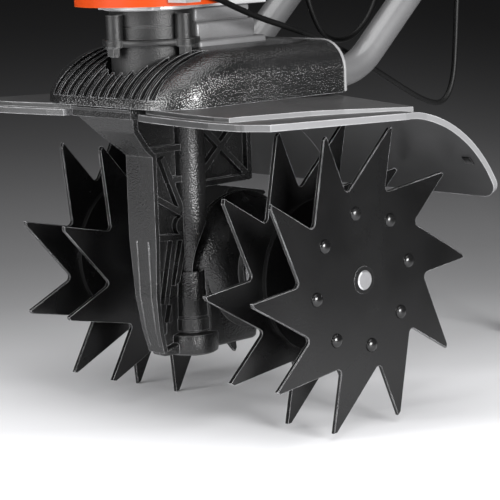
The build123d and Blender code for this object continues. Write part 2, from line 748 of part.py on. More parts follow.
# Upper handle: spread tubes that fold forward about the bolts at fold_x
handle_offset_y = tube_offset_y + 2 * tube_radius + 1.0
spread_start_x = fold_x - 90
spread_end_x = -760.0
handle_start_x = fold_x + 32
for side, name in ((1, "left"), (-1, "right")):
    with BuildPart() as handle_tube:
        with BuildLine():
            FilletPolyline(
                place(handle_start_x, side * handle_offset_y, tube_height(handle_start_x)),
                place(spread_start_x, side * handle_offset_y, tube_height(spread_start_x)),
                place(spread_end_x, side * grip_offset_y, tube_height(spread_end_x)),
                place(handle_knee_x, side * grip_offset_y, handle_top_z),
                place(grip_rear_x + 2, side * grip_offset_y, handle_top_z),
                radius=[150, 150, 55])
        with BuildSketch(Plane(origin=place(handle_start_x, side * handle_offset_y,
                                            tube_height(handle_start_x)),
                               z_dir=(-1, 0, slope))):
            Circle(tube_radius)
            Circle(tube_radius - tube_wall, mode=Mode.SUBTRACT)
        sweep()
        with BuildSketch(side_plane(side * handle_offset_y)):
            with Locations((fold_x, tube_height(fold_x))):
                Circle(4.1)
        extrude(amount=tube_radius + 1, both=True, mode=Mode.SUBTRACT)
    save(handle_tube, f"handle_tube_{name}")
    with BuildPart() as grip:
        with BuildSketch(cross_plane(grip_rear_x)):
            with Locations((side * grip_offset_y, handle_top_z)):
                Circle(grip_radius)
        extrude(amount=grip_length)
        fillet(grip.edges().filter_by(GeomType.CIRCLE), 4)
        with BuildSketch(cross_plane(grip_rear_x + 2)):
            with Locations((side * grip_offset_y, handle_top_z)):
                Circle(tube_radius + seat_clearance)
        extrude(amount=grip_length, mode=Mode.SUBTRACT)
    save(grip, f"grip_{name}")
    with BuildPart() as fold_bolt:
        with BuildSketch(side_plane(side * (tube_offset_y - tube_radius))):
            with Locations((fold_x, tube_height(fold_x))):
                Circle(4.0)
        extrude(amount=-side * (handle_offset_y - tube_offset_y + 2 * tube_radius + 6))
        with BuildSketch(side_plane(side * (handle_offset_y + tube_radius + 0.3))):
            with Locations((fold_x, tube_height(fold_x))):
                Circle(8)
                with PolarLocations(10, 3):
                    Circle(7)
        extrude(amount=-side * 14)
    save(fold_bolt, f"fold_knob_{name}")

bar_x = -650.0
bar_drop = 17.0
bar_share = (spread_start_x - bar_x) / (spread_start_x - spread_end_x)
bar_half = handle_offset_y + bar_share * (grip_offset_y - handle_offset_y)
with BuildPart() as handle_crossbar:
    with BuildSketch(side_plane()):
        with Locations((bar_x, tube_height(bar_x) - bar_drop)):
            Circle(9)
    extrude(amount=bar_half, both=True)
    for side in (1, -1):
        spread_start = Vector(place(spread_start_x, side * handle_offset_y, tube_height(spread_start_x)))
        spread_end = Vector(place(spread_end_x, side * grip_offset_y, tube_height(spread_end_x)))
        with BuildSketch(Plane(origin=spread_start, z_dir=spread_end - spread_start)):
            Circle(tube_radius + fender_gap / 2)
        extrude(amount=(spread_end - spread_start).length, mode=Mode.SUBTRACT)
save(handle_crossbar, "handle_crossbar")

# Control cables: free below the fold, held along the tubes above it
cable_routes = {
    "drive_cable": [
        (104, 66, 359), (80, 64.5, 353), (58, 60, 345), (22, 55, 333), (-21, 50, 321.5),
        (-60, 48, 309), (-100, 49, 291), (-142, 51, 268), (-180, 53, 248), (-206, 53, 243),
        (-220, 53, 262), (-224, 53, 300), (-227, 53, 345), (-238, 53.5, 395), (-262, 54, 443),
        (-290, 54, 477.3), (-345, 54, 525.3), (-382, 54, 571), (-410, 54, 591), (-438, 54, 606.5)],
    "throttle_cable": [
        (-71, 14, 380), (-72, 14, 358), (-80, 14, 331), (-97, 13, 307), (-128, 11, 303),
        (-158, 8, 319), (-181, 2, 347), (-208, -10, 380), (-238, -30, 415), (-266, -48, 448),
        (-290, -54, 477.3), (-345, -54, 525.3), (-382, -54, 571), (-410, -54, 591), (-438, -54, 606.5)],
    "drive_cable_upper": [
        (-462, 54, 619.6), (-488, 55, 636), (-521, 62, 669), (-560, 82, 707), (-610, 111, 752),
        (-660, 139, 796), (-705, 165, 836), (-750, 190, 875), (-797.6, 197.4, 916.2)],
    "throttle_cable_upper": [
        (-462, -54, 619.6), (-488, -55, 636), (-521, -62, 669), (-560, -82, 707), (-610, -111, 752),
        (-660, -139, 796), (-705, -165, 836), (-750, -190, 875), (-797.6, -197.4, 916.2)],
}


def corner_radii(points):
    """An arc for each corner, as large as its two runs allow."""
    radii = []
    for before, here, after in zip(points, points[1:], points[2:]):
        first = Vector(*here) - Vector(*before)
        second = Vector(*after) - Vector(*here)
        turn = math.radians(first.get_angle(second))
        radii.append(0.45 * min(first.length, second.length) / math.tan(turn / 2))
    return radii


for name, route in cable_routes.items():
    points = [place(*point) for point in route]
    radii = corner_radii(points)
    print(name, "radii", [round(radius, 1) for radius in radii])
    with BuildPart() as cable:
        with BuildLine() as path:
            FilletPolyline(*points, radius=radii)
        with BuildSketch(Plane(origin=points[0], z_dir=Vector(*points[1]) - Vector(*points[0]))):
            Circle(cable_radius)
        sweep()
    length = sum(edge.length for edge in path.edges())
    print(name, "length", round(length, 1),
          "volume share", round(cable.part.volume / (length * math.pi * cable_radius**2), 4))
    save(cable, name)

with BuildPart() as cable_stop_left:
    with BuildSketch(level_plane(351)):
        with Locations((112.7, 64)):
            Rectangle(16, 20)
        with Locations((barrel_x, 0)):
            Circle(cover_radius + seat_clearance, mode=Mode.SUBTRACT)
    extrude(amount=16)
save(cable_stop_left, "cable_stop_left")

with BuildPart() as cable_stop_rear:
    with BuildSketch(level_plane(380.3)):
        with Locations((cylinder_rear_x - valve_cover_depth - 6, 14)):
            Rectangle(12, 16)
    extrude(amount=12)
save(cable_stop_rear, "cable_stop_rear")

# Lever mounts and levers on the upper handle
lever_y = 206.0
lever_pivot_x = handle_knee_x + 30.25
lever_pivot_z = handle_top_z - 61
mount_x = handle_knee_x + 38.25
for side, name in ((1, "left"), (-1, "right")):
    mount_origin = place(mount_x, side * grip_offset_y, tube_height(mount_x))
    with BuildPart() as lever_mount:
        with BuildSketch(Plane(origin=mount_origin, x_dir=(0, 1, 0), z_dir=(-1, 0, slope))):
            Circle(17)
            with Locations((side * -16, 0)):
                RectangleRounded(20, 16, 3)
            Circle(tube_radius + seat_clearance, mode=Mode.SUBTRACT)
        extrude(amount=18)
        with BuildSketch(side_plane(side * lever_y)):
            with Locations((lever_pivot_x, lever_pivot_z)):
                Circle(9)
            with BuildLine():
                Polyline((lever_pivot_x - 8, lever_pivot_z + 4), (lever_pivot_x + 6, lever_pivot_z - 6),
                         (mount_x + 4, tube_height(mount_x) - 13), (mount_x - 14, tube_height(mount_x) + 4),
                         close=True)
            make_face()
        extrude(amount=2.5, both=True)
        with BuildSketch(Plane(origin=mount_origin, x_dir=(0, 1, 0), z_dir=(-1, 0, slope))):
            Circle(tube_radius + seat_clearance)
        extrude(amount=60, both=True, mode=Mode.SUBTRACT)
        with BuildSketch(side_plane(side * lever_y)):
            with Locations((lever_pivot_x, lever_pivot_z)):
                Circle(3)
        extrude(amount=side * 16)
    save(lever_mount, f"lever_mount_{name}")

# Drive lever under the left grip, throttle lever inside the right one
lever_outlines = {
    "drive_lever": (1, [(0, 7), (-60, 17), (-150, 18), (-156, 13), (-150, 10), (-62, 8), (0, -7)]),
    "throttle_lever": (-1, [(0, 7), (-34, 34), (-52, 44), (-56, 39), (-38, 28), (4, -7)]),
}
for name, (side, outline) in lever_outlines.items():
    with BuildPart() as lever:
        with BuildSketch(side_plane(side * (lever_y - 2.5 - 0.3 - 5))):
            with BuildLine():
                Polyline(*[(lever_pivot_x + x, lever_pivot_z + z) for x, z in outline], close=True)
            make_face()
            with Locations((lever_pivot_x, lever_pivot_z)):
                Circle(9)
                Circle(3 + seat_clearance, mode=Mode.SUBTRACT)
        extrude(amount=5, both=True)
    save(lever, name)
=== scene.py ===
import bpy
import bmesh
import json
import math
from mathutils import Matrix, Vector
from mathutils.geometry import tessellate_polygon


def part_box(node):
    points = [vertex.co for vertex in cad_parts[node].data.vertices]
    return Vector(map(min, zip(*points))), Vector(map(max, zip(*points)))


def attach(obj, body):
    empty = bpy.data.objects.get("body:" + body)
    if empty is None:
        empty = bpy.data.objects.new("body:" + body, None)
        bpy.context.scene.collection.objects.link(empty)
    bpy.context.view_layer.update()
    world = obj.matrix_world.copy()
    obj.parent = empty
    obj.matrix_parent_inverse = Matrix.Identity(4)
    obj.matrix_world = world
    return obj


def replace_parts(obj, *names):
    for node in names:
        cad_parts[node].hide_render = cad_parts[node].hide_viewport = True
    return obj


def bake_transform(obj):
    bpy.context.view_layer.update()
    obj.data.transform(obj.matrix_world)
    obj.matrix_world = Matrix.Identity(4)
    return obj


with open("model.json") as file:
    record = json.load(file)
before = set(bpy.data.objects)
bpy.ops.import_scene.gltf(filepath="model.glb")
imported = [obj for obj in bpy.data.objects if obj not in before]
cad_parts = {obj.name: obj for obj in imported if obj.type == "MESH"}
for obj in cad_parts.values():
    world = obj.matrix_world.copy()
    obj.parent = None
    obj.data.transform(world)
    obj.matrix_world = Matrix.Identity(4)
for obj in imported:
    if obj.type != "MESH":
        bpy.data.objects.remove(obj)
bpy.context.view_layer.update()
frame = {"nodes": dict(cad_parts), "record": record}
nodes = frame["nodes"]
mm = 0.001

# Lengths along the machine are measured from the axle, heights from the floor
axleLow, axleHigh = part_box("axle")
axleX = (axleLow[0] + axleHigh[0]) / 2
axleHeight = round((axleLow[2] + axleHigh[2]) / 2 / mm, 3)


def spot(x, y, z):
    return Vector((axleX + x * mm, y * mm, z * mm))


def addObject(name, data):
    made = bpy.data.objects.new(name, data)
    bpy.context.scene.collection.objects.link(made)
    return made


# Camera at the photograph's viewing angle
view = {
    "place": (1213.1, 1248.6, 428.0),
    "heading": -134.307,     # degrees from forward, anticlockwise seen from above
    "tilt": -9.664,
    "roll": -1.883,
    "lens": 150.46,
    "sensor": 36.0,
    "shiftX": 0.0104,
    "shiftY": 0.0092,
    "reach": 100.0,          # metres
}


def makeCamera(v):
    heading, tilt, roll = (math.radians(v[key]) for key in ("heading", "tilt", "roll"))
    ahead = Vector((math.cos(tilt) * math.cos(heading), math.cos(tilt) * math.sin(heading), math.sin(tilt)))
    right = ahead.cross(Vector((0, 0, 1))).normalized()
    up = right.cross(ahead)
    rolledRight = math.cos(roll) * right + math.sin(roll) * up
    rolledUp = math.cos(roll) * up - math.sin(roll) * right
    data = bpy.data.cameras.new("photoCamera")
    data.lens = v["lens"]
    data.sensor_width = v["sensor"]
    data.shift_x = v["shiftX"]
    data.shift_y = v["shiftY"]
    data.clip_end = v["reach"]
    camera = addObject("photoCamera", data)
    turn = Matrix((rolledRight, rolledUp, -ahead)).transposed().to_4x4()
    camera.matrix_world = Matrix.Translation(spot(*v["place"])) @ turn
    bpy.context.scene.camera = camera


makeCamera(view)
print("camera placed")


# Control cables: the lower two hang free between the engine and the fold, the upper two follow the handle
cable = {
    "radius": 2.5,
    "driveLength": 0.784,
    "throttleLength": 0.556,
    "bendShares": (-0.02, 0.2, 0.4, 0.6, 0.8, 1.02),     # the bend's points along the gap at the fold
    "bendInset": 0.05,       # how much thinner the bend is than the cables
}
driveRoute = [
    (104, 66, 359), (80, 64.5, 353), (58, 60, 345), (22, 55, 333), (-21, 50, 321.5),
    (-60, 48, 309), (-100, 49, 291), (-142, 51, 268), (-180, 53, 248), (-206, 53, 243),
    (-220, 53, 262), (-224, 53, 300), (-227, 53, 345), (-238, 53.5, 395), (-262, 54, 443),
    (-290, 54, 477.3), (-345, 54, 525.3), (-382, 54, 571), (-410, 54, 591), (-438, 54, 606.5)]
throttleRoute = [
    (-71, 14, 380), (-72, 14, 358), (-80, 14, 331), (-97, 13, 307), (-128, 11, 303),
    (-158, 8, 319), (-181, 2, 347), (-208, -10, 380), (-238, -30, 415), (-266, -48, 448),
    (-290, -54, 477.3), (-345, -54, 525.3), (-382, -54, 571), (-410, -54, 591), (-438, -54, 606.5)]
upperRoute = [
    (-462, 54, 619.6), (-488, 55, 636), (-521, 62, 669), (-560, 82, 707), (-610, 111, 752),
    (-660, 139, 796), (-705, 165, 836), (-750, 190, 875), (-797.6, 197.4, 916.2)]


def cableCurve(name, route, radius):
    data = bpy.data.curves.new(name, "CURVE")
    data.dimensions = "3D"
    data.bevel_depth = 1
    data.bevel_resolution = 4
    data.resolution_u = 10
    data.use_fill_caps = True
    spline = data.splines.new("NURBS")
    spline.points.add(len(route) - 1)
    for point, place in zip(spline.points, route):
        point.co = (*spot(*place), 1)
        point.radius = radius * mm
    spline.order_u = 3
    spline.use_endpoint_u = True
    return addObject(name, data)


def bakedMesh(piece):
    bpy.context.view_layer.update()
    evaluated = piece.evaluated_get(bpy.context.evaluated_depsgraph_get())
    mesh = bpy.data.meshes.new_from_object(evaluated)
    mesh.name = piece.name
    bpy.data.objects.remove(piece)
    return mesh


def mirrored(route):
    return [(x, -y, z) for x, y, z in route]


freeCables = (("drive", driveRoute, cable["driveLength"]),
              ("throttle", throttleRoute, cable["throttleLength"]))
cableObjects = []
for name, route, length in freeCables:
    lower = cableCurve(f"{name}Cable", route, cable["radius"])
    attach(lower, "chassis")
    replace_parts(lower, f"{name}_cable")
    upperPoints = upperRoute if route[-1][1] > 0 else mirrored(upperRoute)
    upper = cableCurve(f"{name}CableUpper", upperPoints, cable["radius"])
    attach(upper, "upper_handle")
    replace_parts(upper, f"{name}_cable_upper")
    # A short bend joins the two across the handle's fold
    between = [tuple(a + (b - a) * share for a, b in zip(route[-1], upperPoints[0]))
               for share in cable["bendShares"]]
    curve = cableCurve(f"{name}CableBend", between, cable["radius"] - cable["bendInset"])
    bend = addObject(f"{name}CableBend", bakedMesh(curve))
    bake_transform(bend)
    cableObjects += [lower, upper, bend]
print("cables laid")


# Shader helpers
def put(tree, kind, inputs=None, **settings):
    node = tree.nodes.new(kind)
    for key, value in settings.items():
        setattr(node, key, value)
    for key, value in (inputs or {}).items():
        if isinstance(value, bpy.types.NodeSocket):
            tree.links.new(value, node.inputs[key])
        else:
            node.inputs[key].default_value = value
    return node


def math2(tree, operation, first, second, clamp=False):
    return put(tree, "ShaderNodeMath", {0: first, 1: second}, operation=operation, use_clamp=clamp).outputs[0]


def mixColour(tree, share, first, second):
    return put(tree, "ShaderNodeMix", {0: share, 6: first, 7: second}, data_type="RGBA").outputs[2]


def spread(tree, value, low, high, toLow=0.0, toHigh=1.0):
    return put(tree, "ShaderNodeMapRange", {0: value, 1: low, 2: high, 3: toLow, 4: toHigh}).outputs[0]


def newGroup(name, inputs, outputs):
    tree = bpy.data.node_groups.new(name, "ShaderNodeTree")
    for label, value in inputs.items():
        kind = "NodeSocketVector" if value is None else "NodeSocketFloat"
        socket = tree.interface.new_socket(label, in_out="INPUT", socket_type=kind)
        if value is not None:
            socket.default_value = value
    for label in outputs:
        tree.interface.new_socket(label, in_out="OUTPUT", socket_type="NodeSocketFloat")
    return tree, put(tree, "NodeGroupInput").outputs, put(tree, "NodeGroupOutput")


# What the shader groups share: where an edge starts to wear and to take its painted highlight, how grain,
# tone and dust break up
surface = {
    "flatEdge": 0.995,       # cosine of the turn where edge wear and painted highlight start
    "sharpEdge": 0.85,       # cosine where it is full
    "edgeBreaks": (0.35, 0.62, 0.35, 1.0),
    "pits": (0.1, 0.7),
    "toneScale": 14.0,
    "tones": (0.3, 0.7),
    "dustFacing": (0.2, 0.95),
    "dustScale": 45.0,
    "dustBreaks": (0.4, 0.75),
    "dustRoughness": 0.5,    # added where dust lies full
}


# Edge mask for wear and painted highlights: where the surface turns sharply, broken up by noise
def makeWornAndLitEdges():
    tree, given, result = newGroup(
        "wornAndLitEdges", {"Vector": None, "Radius": 0.001, "Amount": 1.0, "Breakup": 60.0}, ["Mask"])
    rounded = put(tree, "ShaderNodeBevel", {"Radius": given["Radius"]}, samples=4)
    flat = put(tree, "ShaderNodeNewGeometry")
    facing = put(tree, "ShaderNodeVectorMath", {0: rounded.outputs[0], 1: flat.outputs["Normal"]},
                 operation="DOT_PRODUCT").outputs["Value"]
    turn = spread(tree, facing, surface["flatEdge"], surface["sharpEdge"])
    noise = put(tree, "ShaderNodeTexNoise",
                {"Vector": given["Vector"], "Scale": given["Breakup"], "Detail": 3.0})
    broken = spread(tree, noise.outputs[0], *surface["edgeBreaks"])
    edgeWearAndHighlight = math2(tree, "MULTIPLY", turn, broken)
    tree.links.new(math2(tree, "MULTIPLY", edgeWearAndHighlight, given["Amount"], clamp=True), result.inputs["Mask"])
    return tree


# Moulded or cast grain: a height for bump and a slow change of tone
def makeGrain():
    tree, given, result = newGroup(
        "surfaceGrain", {"Vector": None, "Scale": 900.0, "Coarseness": 0.5}, ["Height", "Tone"])
    fine = put(tree, "ShaderNodeTexNoise",
               {"Vector": given["Vector"], "Scale": given["Scale"], "Detail": 2.0})
    cells = put(tree, "ShaderNodeTexVoronoi", {"Vector": given["Vector"], "Scale": given["Scale"]},
                feature="F1")
    pits = spread(tree, cells.outputs["Distance"], *surface["pits"])
    height = put(tree, "ShaderNodeMix", {0: given["Coarseness"], 2: fine.outputs[0], 3: pits},
                 data_type="FLOAT").outputs[0]
    tree.links.new(height, result.inputs["Height"])
    slow = put(tree, "ShaderNodeTexNoise",
               {"Vector": given["Vector"], "Scale": surface["toneScale"], "Detail": 5.0})
    tree.links.new(spread(tree, slow.outputs[0], *surface["tones"]), result.inputs["Tone"])
    return tree


# Dust that settles on faces that look up
def makeDust():
    tree, given, result = newGroup("settledDust", {"Vector": None, "Amount": 0.2}, ["Mask"])
    flat = put(tree, "ShaderNodeNewGeometry")
    normal = put(tree, "ShaderNodeSeparateXYZ", {0: flat.outputs["Normal"]})
    up = spread(tree, normal.outputs["Z"], *surface["dustFacing"])
    noise = put(tree, "ShaderNodeTexNoise",
                {"Vector": given["Vector"], "Scale": surface["dustScale"], "Detail": 6.0})
    patchy = math2(tree, "MULTIPLY", up, spread(tree, noise.outputs[0], *surface["dustBreaks"]))
    tree.links.new(math2(tree, "MULTIPLY", patchy, given["Amount"], clamp=True), result.inputs["Mask"])
    return tree


# Faces told by how far they look sideways: the disc's cut edges, and the fender's side faces, which are
# painted lighter as light falling from the side
def makeRimFaces():
    tree, given, result = newGroup("rimFaces", {"Low": 0.55, "High": 0.9}, ["Mask"])
    normal = put(tree, "ShaderNodeSeparateXYZ", {0: put(tree, "ShaderNodeTexCoord").outputs["Normal"]})
    aside = math2(tree, "ABSOLUTE", normal.outputs["Y"], 0.0)
    tree.links.new(spread(tree, aside, given["Low"], given["High"]), result.inputs["Mask"])
    return tree


wornAndLitEdges = makeWornAndLitEdges()
rimFaces = makeRimFaces()
surfaceGrain = makeGrain()
settledDust = makeDust()


def useGroup(tree, group, **inputs):
    values = {key.capitalize(): value for key, value in inputs.items()}
    return put(tree, "ShaderNodeGroup", values, node_tree=group)


def grey(value):
    return (value, value, value * 1.02, 1)


def tones(dark, light, edge):
    return {"dark": grey(dark), "light": grey(light), "edge": grey(edge)}


# One finish for all painted, cast and moulded surfaces; each has its own values below
def makeFinish(name, look):
    material = bpy.data.materials.new(name)
    material.use_nodes = True
    tree = material.node_tree
    shader = tree.nodes["Principled BSDF"]
    coords = put(tree, "ShaderNodeTexCoord").outputs["Object"]
    grain = useGroup(tree, surfaceGrain, vector=coords, scale=look["grainScale"],
                     coarseness=look["coarseness"]).outputs
    edgeWearAndHighlight = useGroup(tree, wornAndLitEdges, vector=coords, radius=look["edgeWidth"] * mm,
                    amount=look["edgeAmount"]).outputs["Mask"]
    dust = useGroup(tree, settledDust, vector=coords, amount=look["dust"]).outputs["Mask"]
    colour = mixColour(tree, grain["Tone"], look["dark"], look["light"])
    colour = mixColour(tree, dust, colour, look["dustColour"])
    # Sideways faces take the rim tone: the disc's own dark cut edges, and painted light on the fender's side
    # faces
    if "rim" in look:
        low, high = look["rimRange"]
        rim = useGroup(tree, rimFaces, low=low, high=high).outputs["Mask"]
        colour = mixColour(tree, rim, colour, look["rim"])
    # Edge tone: wear on most finishes, a painted highlight on the disc, case, fender and hood
    colour = mixColour(tree, edgeWearAndHighlight, colour, look["edge"])
    tree.links.new(colour, shader.inputs["Base Color"])
    rough = spread(tree, grain["Tone"], 0, 1, look["roughness"] - look["roughSpread"],
                   look["roughness"] + look["roughSpread"])
    dusty = math2(tree, "MULTIPLY", dust, surface["dustRoughness"])
    tree.links.new(math2(tree, "ADD", rough, dusty, clamp=True), shader.inputs["Roughness"])
    bump = put(tree, "ShaderNodeBump", {"Height": grain["Height"], "Strength": look["grainDepth"],
                                        "Distance": look["grainSize"] * mm})
    tree.links.new(bump.outputs[0], shader.inputs["Normal"])
    for label, key in (("Metallic", "metallic"), ("Specular IOR Level", "specular"),
                       ("Coat Weight", "coat"), ("Coat Roughness", "coatRoughness")):
        shader.inputs[label].default_value = look[key]
    return material


# tones are the darkest and the lightest grey and that of an edge, which is wear on most finishes and a
# painted highlight on the disc, case, fender and hood; widths and sizes are millimetres
plain = {
    **tones(0.02, 0.03, 0.12), "edgeWidth": 0.8, "edgeAmount": 0.7, "roughness": 0.45, "roughSpread": 0.06,
    "metallic": 0.0, "specular": 0.5, "coat": 0.0, "coatRoughness": 0.1, "grainScale": 900.0,
    "coarseness": 0.3, "grainDepth": 0.15, "grainSize": 0.3, "dust": 0.1, "dustColour": grey(0.3),
}
finishes = {
    # The disc's light edge tone is a painted highlight on its broken edges; its sideways faces keep the
    # disc's own dark tone
    "disc_steel": {**plain, **tones(0.004, 0.007, 0.8), "edgeAmount": 0.9, "edgeWidth": 0.45,
                   "roughness": 0.25, "roughSpread": 0.05, "grainScale": 500.0, "grainDepth": 0.12,
                   "dust": 0.0, "rim": grey(0.005), "rimRange": (0.6, 0.3), "specular": 0.35},
    "rotor_steel": {**plain, **tones(0.004, 0.007, 0.06), "roughness": 0.22, "dust": 0.0},
    "bright_steel": {**plain, **tones(0.62, 0.75, 0.85), "roughness": 0.28, "metallic": 0.9, "dust": 0.0,
                     "grainScale": 1500.0, "grainDepth": 0.05},
    # The case's light edge tone is a painted highlight on its ribs and corners
    "case_paint": {**plain, **tones(0.004, 0.009, 0.4), "edgeWidth": 0.6, "roughness": 0.28,
                   "grainScale": 700.0, "grainDepth": 0.85, "grainSize": 0.4, "coarseness": 0.5,
                   "dust": 0.01},
    # The fender's sideways faces are painted lighter as light from the side, and its light edge tone is a
    # painted highlight
    "fender_plastic": {**plain, **tones(0.026, 0.036, 0.45), "edgeWidth": 1.3, "edgeAmount": 0.9,
                       "roughness": 0.44, "grainScale": 1000.0, "grainDepth": 0.4, "dust": 0.02,
                       "rim": grey(0.17), "rimRange": (0.5, 0.9)},
    # The hood's light rib edge tone is a painted highlight
    "hood_plastic": {**plain, **tones(0.006, 0.011, 0.4), "roughness": 0.24, "roughSpread": 0.05,
                     "grainScale": 720.0, "grainDepth": 0.9, "grainSize": 0.45, "coarseness": 0.6,
                     "edgeAmount": 0.9, "edgeWidth": 0.7, "dust": 0.0, "specular": 0.7},
    # Two copies of one aluminium: the lighter one is painted light, the near-black cast one painted shade
    "lit_aluminium": {**plain, **tones(0.13, 0.2, 0.45), "roughness": 0.5, "metallic": 0.4,
                           "grainScale": 800.0, "grainDepth": 0.8, "dust": 0.0},
    "cast_aluminium": {**plain, **tones(0.006, 0.014, 0.12), "roughness": 0.5, "specular": 0.35,
                       "grainScale": 800.0, "grainDepth": 0.8, "dust": 0.02},
    "plate_metal": {**plain, **tones(0.42, 0.52, 0.8), "roughness": 0.4, "metallic": 0.3,
                    "grainDepth": 0.1, "dust": 0.02},
    "orange_paint": {**plain, "dark": (0.33, 0.032, 0.003, 1), "light": (0.4, 0.042, 0.004, 1),
                     "edge": (0.9, 0.26, 0.05, 1), "edgeAmount": 0.4, "roughSpread": 0.03,
                     "grainDepth": 0.03, "dust": 0.0, "specular": 0.12},
    "black_plastic": plain,
    "muffler_steel": {**plain, "dark": (0.13, 0.12, 0.11, 1), "light": (0.2, 0.185, 0.17, 1),
                      "edge": grey(0.35), "roughness": 0.5, "metallic": 0.8},
    "tank_plastic": {**plain, **tones(0.022, 0.03, 0.12), "roughness": 0.4, "grainDepth": 0.2},
    "handle_metal": {**plain, **tones(0.1, 0.13, 0.3), "metallic": 0.2, "grainScale": 1400.0,
                     "grainDepth": 0.2, "dust": 0.0, "coat": 0.5, "coatRoughness": 0.08},
    "stand_paint": {**plain, **tones(0.022, 0.032, 0.12), "roughness": 0.4},
    "grip_rubber": {**plain, **tones(0.014, 0.02, 0.05), "roughness": 0.75, "grainScale": 700.0,
                    "grainDepth": 0.3, "specular": 0.35},
    "cable_sheath": {**plain, **tones(0.002, 0.004, 0.01), "roughness": 0.5, "grainDepth": 0.05,
                     "dust": 0.0, "specular": 0.2},
    "hood_rim": {**plain, **tones(0.14, 0.18, 0.3), "roughness": 0.5, "dust": 0.0},
    "bracket_steel": {**plain, **tones(0.40, 0.5, 0.7), "roughness": 0.38, "metallic": 0.85},
}
materials = {name: makeFinish(name, look) for name, look in finishes.items()}
# Two finishes stand beside the record's own; their pieces keep the record's slot. The lighter aluminium is a
# painted-light copy of the cast aluminium
ownFinish = {"cylinder": "lit_aluminium", "valve_cover": "lit_aluminium"}
for row in frame["record"]["subparts"]:
    finish = materials[ownFinish.get(row["node"], row["material_slot"])]
    meshSlots = nodes[row["node"]].material_slots
    for meshSlot in meshSlots:
        meshSlot.material = finish
    if not meshSlots:
        nodes[row["node"]].data.materials.append(finish)
for piece in cableObjects:
    piece.data.materials.append(materials["cable_sheath"])
print("finishes made")


# Builders for the small pieces, all in place in the frame
def addLathe(bm, profile, centre, axis, segments=28):
    out = Vector(axis).normalized()
    side = out.orthogonal().normalized()
    other = out.cross(side)
    rings = []
    for radius, along in profile:
        middle = centre + out * along * mm
        if radius < 0.01:
            rings.append([bm.verts.new(middle)])
            continue
        turns = [math.tau * step / segments for step in range(segments)]
        rings.append([bm.verts.new(middle + radius * mm * (math.cos(turn) * side + math.sin(turn) * other))
                      for turn in turns])
    for low, high in zip(rings, rings[1:]):
        for here in range(segments):
            after = (here + 1) % segments
            corners = (low[here % len(low)], low[after % len(low)],
                       high[after % len(high)], high[here % len(high)])
            face = list(dict.fromkeys(corners))
            if len(face) > 2:
                bm.faces.new(face)


def addBox(bm, centre, size, rounding=0.0, turn=None):
    made = bmesh.ops.create_cube(bm, size=1)["verts"]
    bmesh.ops.scale(bm, vec=Vector(size) * mm, verts=made)
    if rounding:
        edges = list(dict.fromkeys(edge for vert in made for edge in vert.link_edges))
        made = bmesh.ops.bevel(bm, geom=edges, offset=rounding * mm, segments=3, affect="EDGES",
                               profile=0.5)["verts"]
        faces = {face for vert in made for face in vert.link_faces}
        made = list({vert for face in faces for vert in face.verts})
    if turn is not None:
        bmesh.ops.transform(bm, matrix=turn.to_4x4(), verts=made)
    bmesh.ops.translate(bm, vec=centre, verts=made)


def addWire(bm, points, radius, closed=False, segments=10):
    rings = []
    count = len(points)
    side = None
    for here, point in enumerate(points):
        if closed:
            ahead = points[(here + 1) % count] - points[here - 1]
        else:
            ahead = points[min(here + 1, count - 1)] - points[max(here - 1, 0)]
        ahead.normalize()
        side = ahead.orthogonal() if side is None else side - ahead * side.dot(ahead)
        side.normalize()
        other = ahead.cross(side)
        rings.append([bm.verts.new(point + radius * mm * (math.cos(turn) * side + math.sin(turn) * other))
                      for turn in (math.tau * step / segments for step in range(segments))])
    pairs = list(zip(rings, rings[1:])) + ([(rings[-1], rings[0])] if closed else [])
    for low, high in pairs:
        for here in range(segments):
            after = (here + 1) % segments
            bm.faces.new((low[here], low[after], high[after], high[here]))
    if not closed:
        bm.faces.new(list(reversed(rings[0])))
        bm.faces.new(rings[-1])


def smoothPath(points, steps=8):
    path = []
    ends = [points[0]] + list(points) + [points[-1]]
    for before, start, end, after in zip(ends, ends[1:], ends[2:], ends[3:]):
        for step in range(steps):
            t = step / steps
            path.append(0.5 * (2 * start + (end - before) * t
                               + (2 * before - 5 * start + 4 * end - after) * t**2
                               + (3 * start - 3 * end + after - before) * t**3))
    return path + [points[-1]]


def newPiece(name, bm, body, slotName, sharpAt=38.0):
    bmesh.ops.recalc_face_normals(bm, faces=bm.faces)
    mesh = bpy.data.meshes.new(name)
    bm.to_mesh(mesh)
    bm.free()
    return dressPiece(name, mesh, body, slotName, sharpAt)


def dressPiece(name, mesh, body, slotName, sharpAt=38.0):
    for polygon in mesh.polygons:
        polygon.use_smooth = True
    mesh.set_sharp_from_angle(angle=math.radians(sharpAt))
    mesh.materials.clear()
    mesh.materials.append(materials[slotName])
    piece = addObject(name, mesh)
    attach(piece, body)
    return piece


def lathePiece(name, profile, centre, axis, body, slotName, segments=28, sharpAt=38.0):
    bm = bmesh.new()
    addLathe(bm, profile, centre, axis, segments)
    return newPiece(name, bm, body, slotName, sharpAt)


